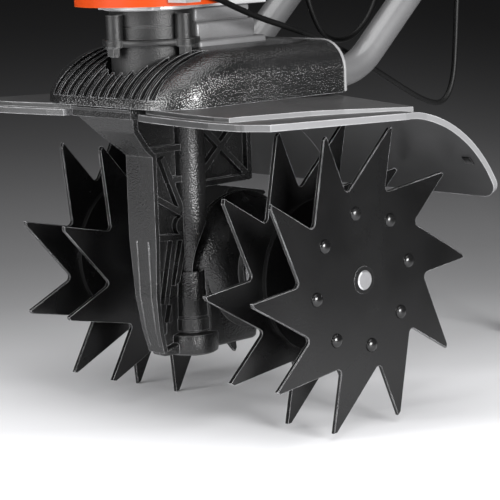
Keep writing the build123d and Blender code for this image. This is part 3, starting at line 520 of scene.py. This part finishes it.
# Node trees that set one part on every point, turned by the point's own "turn"
def makePattern(name, inputs, buildPart):
    tree = bpy.data.node_groups.new(name, "GeometryNodeTree")
    tree.interface.new_socket("Geometry", in_out="INPUT", socket_type="NodeSocketGeometry")
    for label, value in inputs.items():
        kind = "NodeSocketVector" if isinstance(value, tuple) else "NodeSocketFloat"
        tree.interface.new_socket(label, in_out="INPUT", socket_type=kind).default_value = value
    tree.interface.new_socket("Material", in_out="INPUT", socket_type="NodeSocketMaterial")
    tree.interface.new_socket("Geometry", in_out="OUTPUT", socket_type="NodeSocketGeometry")
    given = put(tree, "NodeGroupInput").outputs
    part = buildPart(tree, given)
    turn = put(tree, "GeometryNodeInputNamedAttribute", {"Name": "turn"}, data_type="FLOAT_VECTOR").outputs[0]
    turned = put(tree, "FunctionNodeEulerToRotation", {0: turn}).outputs[0]
    placed = put(tree, "GeometryNodeInstanceOnPoints",
                 {"Points": given["Geometry"], "Instance": part, "Rotation": turned})
    whole = put(tree, "GeometryNodeRealizeInstances", {0: placed.outputs[0]})
    painted = put(tree, "GeometryNodeSetMaterial",
                  {"Geometry": whole.outputs[0], "Material": given["Material"]})
    put(tree, "NodeGroupOutput", {0: painted.outputs[0]})
    return tree


def lifted(tree, geometry, height):
    lift = put(tree, "ShaderNodeCombineXYZ", {2: height}).outputs[0]
    return put(tree, "GeometryNodeTransform", {"Geometry": geometry, "Translation": lift}).outputs[0]


boltShape = {"sides": 6, "taper": 0.94, "washerSegments": 24}


def boltPart(tree, given):
    top = math2(tree, "MULTIPLY", given["Head"], boltShape["taper"])
    head = put(tree, "GeometryNodeMeshCone", {
        "Vertices": boltShape["sides"], "Radius Top": top, "Radius Bottom": given["Head"],
        "Depth": given["Height"]}).outputs[0]
    washer = put(tree, "GeometryNodeMeshCylinder", {
        "Vertices": boltShape["washerSegments"], "Radius": given["Washer"], "Depth": given["Rim"]}).outputs[0]
    both = put(tree, "GeometryNodeJoinGeometry")
    tree.links.new(lifted(tree, head, given["Rim"]), both.inputs[0])
    tree.links.new(lifted(tree, washer, math2(tree, "MULTIPLY", given["Rim"], 0.5)), both.inputs[0])
    return both.outputs[0]


def ribPart(tree, given):
    return put(tree, "GeometryNodeMeshCube", {"Size": given["Size"]}).outputs[0]


boltPattern = makePattern(
    "boltPattern", {"Head": 0.005, "Height": 0.0035, "Washer": 0.006, "Rim": 0.001}, boltPart)
ribPattern = makePattern("ribPattern", {"Size": (0.001, 0.001, 0.001)}, ribPart)


def turnFor(facing, along=None):
    out = Vector(facing).normalized()
    side = Vector(along).normalized() if along else out.orthogonal().normalized()
    return Matrix((side, out.cross(side), out)).transposed()


def setOn(name, points, pattern, values, body, slotName):
    mesh = bpy.data.meshes.new(name)
    mesh.from_pydata([place for place, turn in points], [], [])
    turns = mesh.attributes.new("turn", "FLOAT_VECTOR", "POINT")
    for item, (place, turn) in zip(turns.data, points):
        item.vector = turn.to_euler()
    holder = addObject(name, mesh)
    modifier = holder.modifiers.new(name, "NODES")
    modifier.node_group = pattern
    settings = {**values, "Material": materials[slotName]}
    for item in pattern.interface.items_tree:
        if item.in_out == "INPUT" and item.name in settings:
            modifier[item.identifier] = settings[item.name]
    return dressPiece(name, bakedMesh(holder), body, slotName, 30.0)


def inMetres(sizes):
    return tuple(size * mm for size in sizes)


def boltSize(head, height, washer, rim=1.0):
    return {"Head": head * mm, "Height": height * mm, "Washer": washer * mm, "Rim": rim * mm}


# Places for bolts: on a circle that faces a given way, on the gearcase's sides, round the blower cover
def ringPlaces(centre, radius, count, start, facing):
    out = Vector(facing).normalized()
    across = Vector((0, 0, 1)) if abs(out.z) < 0.5 else Vector((1, 0, 0))
    other = out.cross(across)
    turns = [math.radians(start + 360 * step / count) for step in range(count)]
    return [Vector(centre) + radius * (math.cos(turn) * across + math.sin(turn) * other) for turn in turns]


def casePlaces(radius, degrees, aside):
    turns = [math.radians(turn) for turn in degrees]
    return [(radius * math.cos(turn), aside, axleHeight + radius * math.sin(turn)) for turn in turns]


def coverPlaces(radius, degrees, height):
    outward = (math.cos(math.radians(degrees)), math.sin(math.radians(degrees)), 0)
    return [(engineX + radius * outward[0], radius * outward[1], height)], outward


# Bolts: radius and height of the head, radius of the washer, finish, and groups of places with their way
engineX = 91      # the crankshaft's place ahead of the axle
down, up = (0, 0, -1), (0, 0, 1)
sides = [(side, (0, side, 0)) for side in (1, -1)]
bolts = {
    "bearing": ((4.4, 3.2, 5.2), "bright_steel", [
        (ringPlaces((0, side * 44, axleHeight), 25, 4, 45, way), way) for side, way in sides]),
    "case": ((5.0, 3.5, 5.8), "rotor_steel", [
        (casePlaces(57, (108, 146, 184, 222, 260), side * 26), way) for side, way in sides]),
    "barrel": ((5.6, 6.0, 7.0), "cast_aluminium", [(ringPlaces((engineX, 0, 316), 40, 4, 0, down), down)]),
    "valve": ((4.4, 3.2, 5.2), "bracket_steel", [
        ([(-66, y, z) for y in (-18, 18) for z in (368, 408)], (-1, 0, 0))]),
    "cover": ((4.4, 3.2, 5.6), "bracket_steel", [
        coverPlaces(59.9, degrees, 374) for degrees in (34, -34, 98, -98)]),
    "plate": ((4.8, 3.6, 6.0), "bracket_steel", [([(-2, 27, 348), (-2, -27, 348)], up)]),
    "flange": ((5.2, 4.0, 6.6), "bracket_steel", [
        ([(x, y, 262) for x in (-12, 26, 104) for y in (-37, 37)], down)]),
    "starter": ((3.6, 2.4, 4.4), "bracket_steel", [(ringPlaces((engineX, 0, 469), 12, 3, 60, up), up)]),
    "lever": ((4.6, 3.0, 5.2), "bracket_steel", [
        ([(-806, side * face, 889)], (0, side * turned, 0))
        for side in (1, -1) for face, turned in ((208.5, 1), (193.2, -1))]),
}
for key, (size, finish, groups) in bolts.items():
    points = [(spot(*place), turnFor(way)) for places, way in groups for place in places]
    body = "upper_handle" if key == "lever" else "chassis"
    setOn(f"{key}Bolts", points, boltPattern, boltSize(*size), body, finish)
print("bolts set")

# Ribbed grips take the place of the plain ones; To and From are shares of one rib's pitch
grip = {
    "nose": [(0, 0), (11, 0), (15, 1.0), (16.9, 3.5), (16.9, 8)],
    "ribs": 17, "ribsFrom": 9, "unribbed": 20,
    "core": 15.7, "coreTo": 0.42,
    "crest": 16.9, "crestFrom": 0.55, "crestTo": 0.9,
    "collar": 17.0, "collarLength": 8, "collarEdge": 1.5, "mouth": 16,
    "bore": 12.55, "end": 2.0,
}


def makeGrip(name, node):
    low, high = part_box(node)
    length = (high[0] - low[0]) / mm
    centre = Vector((low[0], (low[1] + high[1]) / 2, (low[2] + high[2]) / 2))
    profile = list(grip["nose"])
    pitch = (length - grip["unribbed"]) / grip["ribs"]
    for rib in range(grip["ribs"]):
        start = grip["ribsFrom"] + rib * pitch
        profile += [(grip["core"], start), (grip["core"], start + pitch * grip["coreTo"]),
                    (grip["crest"], start + pitch * grip["crestFrom"]),
                    (grip["crest"], start + pitch * grip["crestTo"])]
    profile += [(grip["collar"], length - grip["collarLength"]),
                (grip["collar"], length - grip["collarEdge"]), (grip["mouth"], length),
                (grip["bore"], length), (grip["bore"], grip["end"]), (0, grip["end"])]
    piece = lathePiece(name, profile, centre, (1, 0, 0), "upper_handle", "grip_rubber", 40, 30.0)
    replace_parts(piece, node)


makeGrip("ribbedGripLeft", "grip_left")
makeGrip("ribbedGripRight", "grip_right")

# Cable ends, adjusters and the clips that hold the cables on the lower tubes; bore is a radius
fitting = {
    "bore": 2.4,
    "ferrule": 4.2, "ferruleLength": 13.0,
    "barrel": 5.0, "barrelLength": 16.0, "barrelNeck": 3.8,
    "clipX": -330.0, "clipHalf": 4, "clipOutside": 3.9, "cableAside": 54, "cableHeight": 512.2,
}
tube = {"slope": 41.1, "aside": 70, "radius": 12.5, "clipRadius": 13.9, "footX": -72.8, "footHeight": 284}
tubeRise = math.tan(math.radians(tube["slope"]))
alongTube = Vector((-1, 0, tubeRise)).normalized()


def tubeCentre(x, side):
    return (x, side * tube["aside"], tube["footHeight"] + (tube["footX"] - x) * tubeRise)


lowerEnds = bmesh.new()
for route in (driveRoute, throttleRoute):
    start, after = Vector(route[0]), Vector(route[1])
    bore, radius, length = fitting["bore"], fitting["ferrule"], fitting["ferruleLength"]
    addLathe(lowerEnds, [(bore, -1), (radius, -1), (radius, length - 3), (radius - 1, length),
                         (bore, length)], spot(*start), after - start, 20)
newPiece("cableFerrules", lowerEnds, "chassis", "bracket_steel")
upperEnds = bmesh.new()
for route in (upperRoute, mirrored(upperRoute)):
    end, before = Vector(route[-1]), Vector(route[-2])
    bore, radius, neck, length = (fitting[key] for key in ("bore", "barrel", "barrelNeck", "barrelLength"))
    addLathe(upperEnds, [(bore, -2), (radius, -2), (radius, 3), (neck, 3.5), (neck, length - 4),
                         (radius - 2, length), (bore, length)], spot(*end), before - end, 6)
newPiece("cableAdjusters", upperEnds, "upper_handle", "bracket_steel")
clips = bmesh.new()
for side in (1, -1):
    centre = Vector(tubeCentre(fitting["clipX"], side))
    held = Vector((fitting["clipX"], side * fitting["cableAside"], fitting["cableHeight"]))
    half = fitting["clipHalf"]
    for place, inside, outside, segments in ((centre, tube["radius"], tube["clipRadius"], 36),
                                             (held, fitting["bore"], fitting["clipOutside"], 20)):
        addLathe(clips, [(inside, -half), (outside, -half), (outside, half), (inside, half)], spot(*place),
                 alongTube, segments)
newPiece("cableClips", clips, "chassis", "black_plastic")

# Engine fittings round the cylinder and the tank: each profile is radius and reach along the piece's way
engine = {
    "bowl": [(0, 0), (11, 0), (11, 9), (8.5, 13), (3.5, 13.5), (3.5, 16), (0, 16)],
    "bowlPlace": (-4, -43.5, 374),
    "fuelPoints": [(22, -46, 425), (22, -46, 412), (18, -45, 400), (9, -44, 394)],
    "fuelRadius": 2.4,
    "filterKnob": [(0, 13), (5, 13), (6.5, 11.5), (6.5, 4), (8, 3), (8, 0)],
    "filterKnobPlace": (-4, -91.9, 390),
    "primer": [(0, 12), (7, 12), (8.5, 10), (8.5, 3), (6, 2.5), (6, 0)],
    "primerPlace": (30, -24.9, 327),
    "seam": (-12, 0, 446, 104, 124, 22),             # middle, length, width and corner
    "seamRadius": 1.3,
    "capPlace": (-14, 0, 487), "capRadius": 20.9, "capRibs": 22, "capRib": (8.0, 2.0, 1.8),
    "guardPlace": (-4, 46, 388), "guardPitch": 7, "guardBar": (54.0, 2.4, 3.0),
    "outlet": [(5.4, 0), (7, 0), (7, 12), (5.4, 12), (5.4, 0)],
    "outletPlace": (-37, 22, 374), "outletWay": (-1, 0, -0.25),
    "plug": [(6.5, -2), (6.5, 6), (0, 6)],
    "plugPlace": (-46, -27, 364), "plugWay": (-0.5, -0.55, -0.65),
    "boot": [(0, 4), (5.5, 4), (6, 8), (6, 18), (4, 21), (0, 21)],
    "bootLength": 18, "leadReach": 10,
    "leadPoints": [(-46, -54, 343), (-10, -52, 342), (28, -44, 346), (46, -36, 356), (48, -30, 362)],
    "leadRadius": 3.0,
    "pullSocket": [(0, 5), (6, 5), (9, 3), (9, -1)],
    "pullTurn": -62, "pullRadius": 60, "pullHeight": 428, "pullReach": 12, "pullSize": (13, 36, 13),
    "pullRounding": 4.5,
    "hubCap": [(0, 3.5), (6, 3.2), (8, 1.5), (8, -0.5)], "hubHeight": 469,
}
lathePiece("carburettorBowl", engine["bowl"], spot(*engine["bowlPlace"]), (0, 0, -1), "chassis",
           "cast_aluminium")
fuelLine = bmesh.new()
addWire(fuelLine, smoothPath([spot(*point) for point in engine["fuelPoints"]]), engine["fuelRadius"])
newPiece("fuelLine", fuelLine, "chassis", "black_plastic")
knobs = bmesh.new()
for key in ("filterKnob", "primer"):
    addLathe(knobs, engine[key], spot(*engine[f"{key}Place"]), (0, -1, 0), 12)
newPiece("engineKnobs", knobs, "chassis", "black_plastic", 30.0)


def roundedLoop(x, y, z, length, width, corner, steps=6):
    points = []
    for quarter, (signX, signY) in enumerate(((1, 1), (-1, 1), (-1, -1), (1, -1))):
        for step in range(steps + 1):
            turn = math.radians(90 * (quarter + step / steps))
            points.append(spot(x + signX * (length / 2 - corner) + corner * math.cos(turn),
                               y + signY * (width / 2 - corner) + corner * math.sin(turn), z))
    return points


seam = bmesh.new()
addWire(seam, roundedLoop(*engine["seam"]), engine["seamRadius"], closed=True, segments=8)
newPiece("tankSeam", seam, "chassis", "tank_plastic")
capX, capY, capHeight = engine["capPlace"]
capRibs = []
for step in range(engine["capRibs"]):
    turn = math.tau * step / engine["capRibs"]
    outward = Vector((math.cos(turn), math.sin(turn), 0))
    capRibs.append((spot(capX + engine["capRadius"] * outward.x, capY + engine["capRadius"] * outward.y,
                         capHeight), turnFor(outward, (0, 0, 1))))
setOn("fuelCapRibs", capRibs, ribPattern, {"Size": inMetres(engine["capRib"])}, "chassis", "black_plastic")
guardX, guardY, guardHeight = engine["guardPlace"]
guardBars = [(spot(guardX, guardY, guardHeight + engine["guardPitch"] * step), turnFor((0, 1, 0), (1, 0, 0)))
             for step in range(-3, 4)]
setOn("mufflerBars", guardBars, ribPattern, {"Size": inMetres(engine["guardBar"])}, "chassis",
      "muffler_steel")
lathePiece("mufflerOutlet", engine["outlet"], spot(*engine["outletPlace"]), engine["outletWay"], "chassis",
           "muffler_steel", 24)
plugPlace, plugWay = spot(*engine["plugPlace"]), Vector(engine["plugWay"]).normalized()
lathePiece("sparkPlug", engine["plug"], plugPlace, plugWay, "chassis", "bracket_steel", 6)
lead = bmesh.new()
addLathe(lead, engine["boot"], plugPlace, plugWay, 20)
bootEnd = plugPlace + plugWay * engine["bootLength"] * mm
addWire(lead, smoothPath([bootEnd, bootEnd + plugWay * engine["leadReach"] * mm]
                         + [spot(*point) for point in engine["leadPoints"]]), engine["leadRadius"])
newPiece("sparkLead", lead, "chassis", "black_plastic")
pull = bmesh.new()
pullTurn = math.radians(engine["pullTurn"])
pullWay = Vector((math.cos(pullTurn), math.sin(pullTurn), 0))
pullPlace = spot(engineX + engine["pullRadius"] * pullWay.x, engine["pullRadius"] * pullWay.y,
                 engine["pullHeight"])
addLathe(pull, engine["pullSocket"], pullPlace, pullWay, 24)
addBox(pull, pullPlace + pullWay * engine["pullReach"] * mm, engine["pullSize"], engine["pullRounding"],
       turnFor((0, 0, 1), pullWay))
newPiece("starterPull", pull, "chassis", "black_plastic")
lathePiece("starterHub", engine["hubCap"], spot(engineX, 0, engine["hubHeight"]), (0, 0, 1), "chassis",
           "black_plastic")
print("engine fittings made")

# Gearcase as cast: a round drum for the worm wheel and a stepped cup under the column
casting = {
    # one half of the drum, from its joint outward
    "drum": [(60.5, 0.7), (61.5, 2), (59, 7), (55, 14), (50, 20.5), (45, 25), (38, 28.5), (32, 30),
             (32, 36.5), (30, 38), (8.2, 38)],
    "cup": [(0, 58.8), (19.5, 59), (21.8, 60.5), (22.4, 63), (22.4, 73.5), (21.6, 76), (16.5, 77),
            (15.2, 77.4), (15.2, 78.4), (16.6, 79.2), (16.6, 88.6), (15.4, 89.2), (15.4, 90.4), (15.9, 91),
            (15.4, 110), (14.9, 112), (14.8, 128)],
    "cupX": 59.0,
    # outline seen from the side, half the width and the rounding of the edges
    "neck": ([(-4, 61.5), (56, 61.5), (56, 122), (30, 160), (0, 185)], 17, 6),
    "web": ([(66, 60), (97, 62), (98.5, 70), (93, 77), (87.5, 79), (87.5, 116), (66, 124)], 1.6, 0.6),
    "foot": ([(58, 59.5), (96.5, 61.5), (97.5, 66), (76, 71), (58, 71)], 7.5, 1.8),
}


def addPrism(bm, outline, halfWidth, rounding):
    low = [bm.verts.new(spot(x, -halfWidth, z)) for x, z in outline]
    high = [bm.verts.new(spot(x, halfWidth, z)) for x, z in outline]
    faces = [bm.faces.new(low), bm.faces.new(list(reversed(high)))]
    for here in range(len(outline)):
        after = (here + 1) % len(outline)
        faces.append(bm.faces.new((low[here], high[here], high[after], low[after])))
    edges = list(dict.fromkeys(edge for face in faces for edge in face.edges))
    bmesh.ops.bevel(bm, geom=edges, offset=rounding * mm, segments=3, affect="EDGES", profile=0.5)


gearcase = bmesh.new()
drum = [(radius, -aside) for radius, aside in reversed(casting["drum"])] + casting["drum"]
addLathe(gearcase, drum + drum[:1], spot(0, 0, axleHeight), (0, 1, 0), 96)
addLathe(gearcase, casting["cup"], spot(casting["cupX"], 0, 0), (0, 0, 1), 64)
for key in ("neck", "web", "foot"):
    addPrism(gearcase, *casting[key])
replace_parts(newPiece("gearcaseCasting", gearcase, "chassis", "case_paint", 30.0), "worm_gearcase")

# Crankcase as cast: round barrel with a lugged flange and posts, stepped block behind it
crank = {
    "barrel": [(0, 276.6), (32.5, 276.6), (32.5, 315.5), (38.5, 316), (39.2, 317), (39.2, 320), (38.5, 321),
               (33, 321.5), (33, 330.6), (32.2, 331), (32.2, 331.8), (33, 332.2), (33, 343.9), (0, 343.9)],
    "post": [(0, 308), (4.2, 308), (4.2, 315.5), (8.2, 316), (8.2, 321), (6.6, 321.5), (6.6, 341), (0, 341)],
    "postCircle": 38.5, "posts": 4,
    # middle, length, width, underside and top of each block
    "steps": [(28, 76, 60, 300.4, 317.5), (33, 66, 54, 317, 332), (35, 62, 50, 331.5, 343.9)],
    "stepRounding": 2.5,
    "plate": [(55, 126, 66, 344, 348)],
    "plateRounding": 1.2,
    "plateDisc": [(0, 344), (37, 344), (38, 345), (38, 347), (37, 348), (0, 348)],
}


def addBlocks(bm, blocks, rounding):
    for x, length, width, low, high in blocks:
        addBox(bm, spot(x, 0, (low + high) / 2), (length, width, high - low), rounding)


# The barrel takes the near-black cast aluminium, which is painted shade
barrel = bmesh.new()
addLathe(barrel, crank["barrel"], spot(engineX, 0, 0), (0, 0, 1), 72)
for step in range(crank["posts"]):
    turn = math.radians(360 / crank["posts"] * step)
    foot = spot(engineX + crank["postCircle"] * math.cos(turn), crank["postCircle"] * math.sin(turn), 0)
    addLathe(barrel, crank["post"], foot, (0, 0, 1))
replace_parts(newPiece("crankcaseBarrel", barrel, "chassis", "cast_aluminium"), "crankcase")
# The block takes the lighter, painted-light copy of the aluminium
block = bmesh.new()
addBlocks(block, crank["steps"], crank["stepRounding"])
newPiece("crankcaseBlock", block, "chassis", "lit_aluminium")
plate = bmesh.new()
addBlocks(plate, crank["plate"], crank["plateRounding"])
addLathe(plate, crank["plateDisc"], spot(engineX, 0, 0), (0, 0, 1), 72)
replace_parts(newPiece("enginePlate", plate, "chassis", "plate_metal"), "engine_plate")

# Outer star discs with broken edges, to the source's own values
star = {
    "tip": 125.0, "valley": 72.7, "teeth": 10,
    "valleyAfter": 4.3, "land": 1.7, "landDrop": 1.5,      # degrees, degrees, millimetres
    "rounding": 4.0, "roundSteps": 8,
    "thickness": 3.5, "offset": 138.8, "bore": 11.05, "boreSegments": 40, "breakEdge": 0.5,
}


def starOutline(phase):
    outline = []
    pitch = 360 / star["teeth"]
    landReach = star["tip"] - star["landDrop"]
    for tooth in range(star["teeth"]):
        tip = 180 + 360 * tooth / star["teeth"] + phase
        corners = [(landReach, tip - star["land"]), (star["tip"], tip),
                   (star["valley"], tip + star["valleyAfter"]), (landReach, tip + pitch - star["land"])]
        land, point, valley, after = [
            Vector((reach * math.cos(math.radians(turn)), reach * math.sin(math.radians(turn))))
            for reach, turn in corners]
        toPoint, toAfter = (point - valley).normalized(), (after - valley).normalized()
        half = toPoint.angle(toAfter) / 2
        centre = valley + (toPoint + toAfter).normalized() * star["rounding"] / math.sin(half)
        start = valley + toPoint * star["rounding"] / math.tan(half) - centre
        end = valley + toAfter * star["rounding"] / math.tan(half) - centre
        steps = star["roundSteps"]
        outline += [land, point] + [centre + star["rounding"] * start.lerp(end, step / steps).normalized()
                                    for step in range(steps + 1)]
    return outline


def shrunk(outline, amount, sharpest=0.35):
    inner = []
    for here, point in enumerate(outline):
        before = (point - outline[here - 1]).normalized()
        after = (outline[(here + 1) % len(outline)] - point).normalized()
        way = Vector((-(before.y + after.y), before.x + after.x)).normalized()
        inner.append(point + way * amount / max(sharpest, way.dot(Vector((-after.y, after.x)))))
    return inner


def makeStar(name, side, phase):
    bm = bmesh.new()
    outline = starOutline(phase)
    small = shrunk(outline, star["breakEdge"])
    turns = [math.tau * step / star["boreSegments"] for step in range(star["boreSegments"])]
    bore = [Vector((math.cos(turn), math.sin(turn))) * star["bore"] for turn in turns]
    half, middle = star["thickness"] / 2, side * star["offset"]

    def ring(points, aside):
        return [bm.verts.new(spot(point.x, middle + aside, axleHeight + point.y)) for point in points]

    def skin(low, high):
        for here in range(len(low)):
            after = (here + 1) % len(low)
            bm.faces.new((low[here], low[after], high[after], high[here]))

    edge = star["breakEdge"]
    rings = [ring(small, -half), ring(outline, -half + edge), ring(outline, half - edge), ring(small, half)]
    bores = [ring(bore, -half), ring(bore, half)]
    for low, high in zip(rings, rings[1:]):
        skin(low, high)
    skin(*bores)
    cap = tessellate_polygon([[point.to_3d() for point in small], [point.to_3d() for point in bore]])
    for outer, inner in ((rings[0], bores[0]), (rings[-1], bores[1])):
        around = outer + inner
        for triangle in cap:
            bm.faces.new([around[index] for index in triangle])
    return newPiece(name, bm, "rotor", "disc_steel", 30.0)


# The last number turns each disc, in degrees
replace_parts(makeStar("starDiscLeft", 1, 0.0), "star_disc_left_outer")
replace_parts(makeStar("starDiscRight", -1, -18.0), "star_disc_right_outer")

# Domed rivets that hold each outer disc to its hub flange
rivet = {"circle": 55.0, "count": 8, "start": 8.1, "radius": 5.9, "height": 3.4, "face": 140.55}


def rivetPart(tree, given):
    ball = put(tree, "GeometryNodeMeshUVSphere", {"Segments": 24, "Rings": 14, "Radius": 1.0}).outputs[0]
    size = put(tree, "ShaderNodeCombineXYZ",
               {0: given["Radius"], 1: given["Radius"], 2: given["Height"]}).outputs[0]
    return put(tree, "GeometryNodeTransform", {"Geometry": ball, "Scale": size}).outputs[0]


rivetPattern = makePattern("rivetPattern", {"Radius": 0.005, "Height": 0.004}, rivetPart)
rivetPoints = []
for side in (1, -1):
    for step in range(rivet["count"]):
        turn = math.radians(rivet["start"] + 360 * step / rivet["count"])
        rise = -side * rivet["circle"] * math.sin(turn)
        place = spot(rivet["circle"] * math.cos(turn), side * rivet["face"], axleHeight + rise)
        rivetPoints.append((place, turnFor((0, side, 0))))
setOn("discRivets", rivetPoints, rivetPattern,
      {"Radius": rivet["radius"] * mm, "Height": rivet["height"] * mm}, "rotor", "rotor_steel")

# Moulded clip inside each fender's curl, at its way and reach from the axle
curlClip = {"way": (-97.1, 0, 87.6), "reach": 130.4, "aside": 169.7, "size": (9, 8, 1.4), "rounding": 0.3}
clip = bmesh.new()
curlWay = Vector(curlClip["way"]).normalized()
for side in (1, -1):
    base = spot(curlClip["reach"] * curlWay.x, side * curlClip["aside"],
                axleHeight + curlClip["reach"] * curlWay.z)
    addBox(clip, base, curlClip["size"], curlClip["rounding"], turnFor(curlWay, (0, 1, 0)))
newPiece("curlClips", clip, "chassis", "rotor_steel")

# Light rim round the hood's open rear
rim = {"x": -34.6, "halfWidth": 93, "foot": 271.5, "shoulder": 290, "corner": 23, "cornerHeight": 288.5,
       "cornerSteps": 6, "radius": 1.9}
hoodRim = bmesh.new()
rimPath = [spot(rim["x"], rim["halfWidth"], rim["foot"]), spot(rim["x"], rim["halfWidth"], rim["shoulder"])]
for step in range(rim["cornerSteps"] + 1):
    turn = math.radians(90 * step / rim["cornerSteps"])
    rimPath.append(spot(rim["x"], rim["halfWidth"] - rim["corner"] + rim["corner"] * math.cos(turn),
                        rim["cornerHeight"] + rim["corner"] * math.sin(turn)))
rimPath += [Vector((point.x, -point.y, point.z)) for point in reversed(rimPath)]
addWire(hoodRim, rimPath, rim["radius"], segments=8)
newPiece("hoodRim", hoodRim, "chassis", "hood_rim")

# Two beads down the front guard, which draw together toward its foot
bead = {"aside": 7, "radius": 0.9,
        "path": [(108.9, 1, 158), (107.5, 0.95, 112), (103.4, 0.85, 84), (99.4, 0.8, 70)]}
beads = bmesh.new()
for y in (-bead["aside"], bead["aside"]):
    addWire(beads, [spot(x, y * share, z) for x, share, z in bead["path"]], bead["radius"], segments=8)
newPiece("guardBeads", beads, "chassis", "case_paint")

# Bow clips that hold the hub pins
pinClip = {"aside": 62, "bow": 3.9, "legs": -4, "width": 19.5, "reach": 17.5, "radius": 1.0}
pinClips = bmesh.new()
for side in (1, -1):
    middle, reach = side * pinClip["aside"], pinClip["reach"]
    turns = [math.radians(10 * step) for step in range(19)]
    loop = [spot(pinClip["width"] * math.sin(turn), middle + pinClip["bow"],
                 axleHeight + reach * math.cos(turn)) for turn in turns]
    legs = [spot(0, middle + pinClip["legs"], axleHeight + rise) for rise in (reach, -reach)]
    addWire(pinClips, [legs[0]] + loop + [legs[1]], pinClip["radius"], segments=8)
newPiece("pinClips", pinClips, "rotor", "bright_steel")

# Welded collar round the stand's foot
stand = {"foot": -384.0, "top": -400.0, "height": 569.4, "collar": [(13.0, 7.5), (10.5, 10), (8.0, 16)]}
legWay = Vector((stand["top"] - stand["foot"], 0, stand["height"]))
lathePiece("standCollar", stand["collar"], spot(stand["foot"], 0, 0), legWay, "kickstand", "stand_paint")
print("trim made")


# Floor, world and soft studio lamps
studio = {
    "floorSize": 60.0,
    "nearReach": -0.6,
    "farReach": 12.0,
    # painted light on the floor: its reflectance by depth behind the axle, bright near the machine and
    # falling into painted shade far off, in metres along the line of sight
    "paintedFloorLight": [
        (-0.6, 0.95), (-0.25, 0.92), (-0.17, 0.86), (-0.12, 0.78), (-0.07, 0.66), (0.03, 0.64), (0.09, 0.63),
        (0.15, 0.53), (0.21, 0.5), (0.28, 0.42), (0.36, 0.35), (0.49, 0.25), (0.6, 0.21), (0.78, 0.172),
        (1.07, 0.15), (1.5, 0.127), (2.0, 0.108), (2.8, 0.096), (4.2, 0.084), (5.6, 0.074), (7.5, 0.065),
        (12.0, 0.05)],
    "sightLine": (-0.699, -0.715, 0.0),
    "sideWay": (-0.712, 0.703, 0.0),
    "shadeFrom": 0.32,       # metres to the side where painted shade darkens the floor, and where it is darkest
    "shadeTo": 0.8,
    "shadeTone": 0.05,
    "floorRoughness": 0.6,
    "floorSpecular": 0.1,
    "worldLevel": 0.05,
}
lamps = {
    # place and aim in metres from the axle, size in metres, power in watts
    "keyLamp": {"place": (2.3, -0.25, 0.85), "aim": (0, 0, 0.2), "size": (1.6, 0.9), "power": 70},
    "topLamp": {"place": (0.5, 0.5, 2.6), "aim": (0.25, 0.25, 0), "size": (2.4, 2.4), "power": 72},
    "sideLamp": {"place": (0.25, 2.25, 0.6), "aim": (0, 0.1, 0.25), "size": (1.1, 0.8), "power": 100},
}


def makeFloor():
    half = studio["floorSize"] / 2
    corners = [(-half, -half, 0), (half, -half, 0), (half, half, 0), (-half, half, 0)]
    mesh = bpy.data.meshes.new("studioFloor")
    mesh.from_pydata(corners, [], [(0, 1, 2, 3)])
    floor = addObject("studioFloor", mesh)
    material = bpy.data.materials.new("studioFloor")
    material.use_nodes = True
    tree = material.node_tree
    shader = tree.nodes["Principled BSDF"]
    coords = put(tree, "ShaderNodeTexCoord").outputs["Object"]
    centred = put(tree, "ShaderNodeVectorMath", {0: coords, 1: tuple(spot(0, 0, 0))}, operation="SUBTRACT")
    depth, aside = [put(tree, "ShaderNodeVectorMath", {0: centred.outputs[0], 1: studio[way]},
                        operation="DOT_PRODUCT").outputs["Value"] for way in ("sightLine", "sideWay")]
    near, far = studio["nearReach"], studio["farReach"]
    # The floor's colour carries painted light, falling off with depth, and painted shade to one side
    ramp = put(tree, "ShaderNodeValToRGB", {0: spread(tree, depth, near, far)})
    stops = ramp.color_ramp.elements
    levels = studio["paintedFloorLight"]
    for stop, (distance, level) in zip(stops, (levels[0], levels[-1])):
        stop.position, stop.color = (distance - near) / (far - near), grey(level)
    for distance, level in levels[1:-1]:
        stops.new((distance - near) / (far - near)).color = grey(level)
    aside = spread(tree, aside, studio["shadeFrom"], studio["shadeTo"])
    shaded = mixColour(tree, aside, ramp.outputs[0], grey(studio["shadeTone"]))
    tree.links.new(shaded, shader.inputs["Base Color"])
    shader.inputs["Roughness"].default_value = studio["floorRoughness"]
    shader.inputs["Specular IOR Level"].default_value = studio["floorSpecular"]
    mesh.materials.append(material)


def makeLamp(name, values):
    data = bpy.data.lights.new(name, "AREA")
    data.shape = "RECTANGLE"
    data.size, data.size_y = values["size"]
    data.energy = values["power"]
    lamp = addObject(name, data)
    shift = Vector((axleX, 0, 0))
    place, aim = Vector(values["place"]) + shift, Vector(values["aim"]) + shift
    turn = (aim - place).to_track_quat("-Z", "Y").to_matrix().to_4x4()
    lamp.matrix_world = Matrix.Translation(place) @ turn


def makeWorld():
    world = bpy.data.worlds.new("studioWorld")
    world.use_nodes = True
    world.node_tree.nodes["Background"].inputs[0].default_value = grey(studio["worldLevel"])
    bpy.context.scene.world = world


makeFloor()
makeWorld()
for name, values in lamps.items():
    makeLamp(name, values)
bpy.context.scene.view_settings.view_transform = "Standard"
print("studio lit")
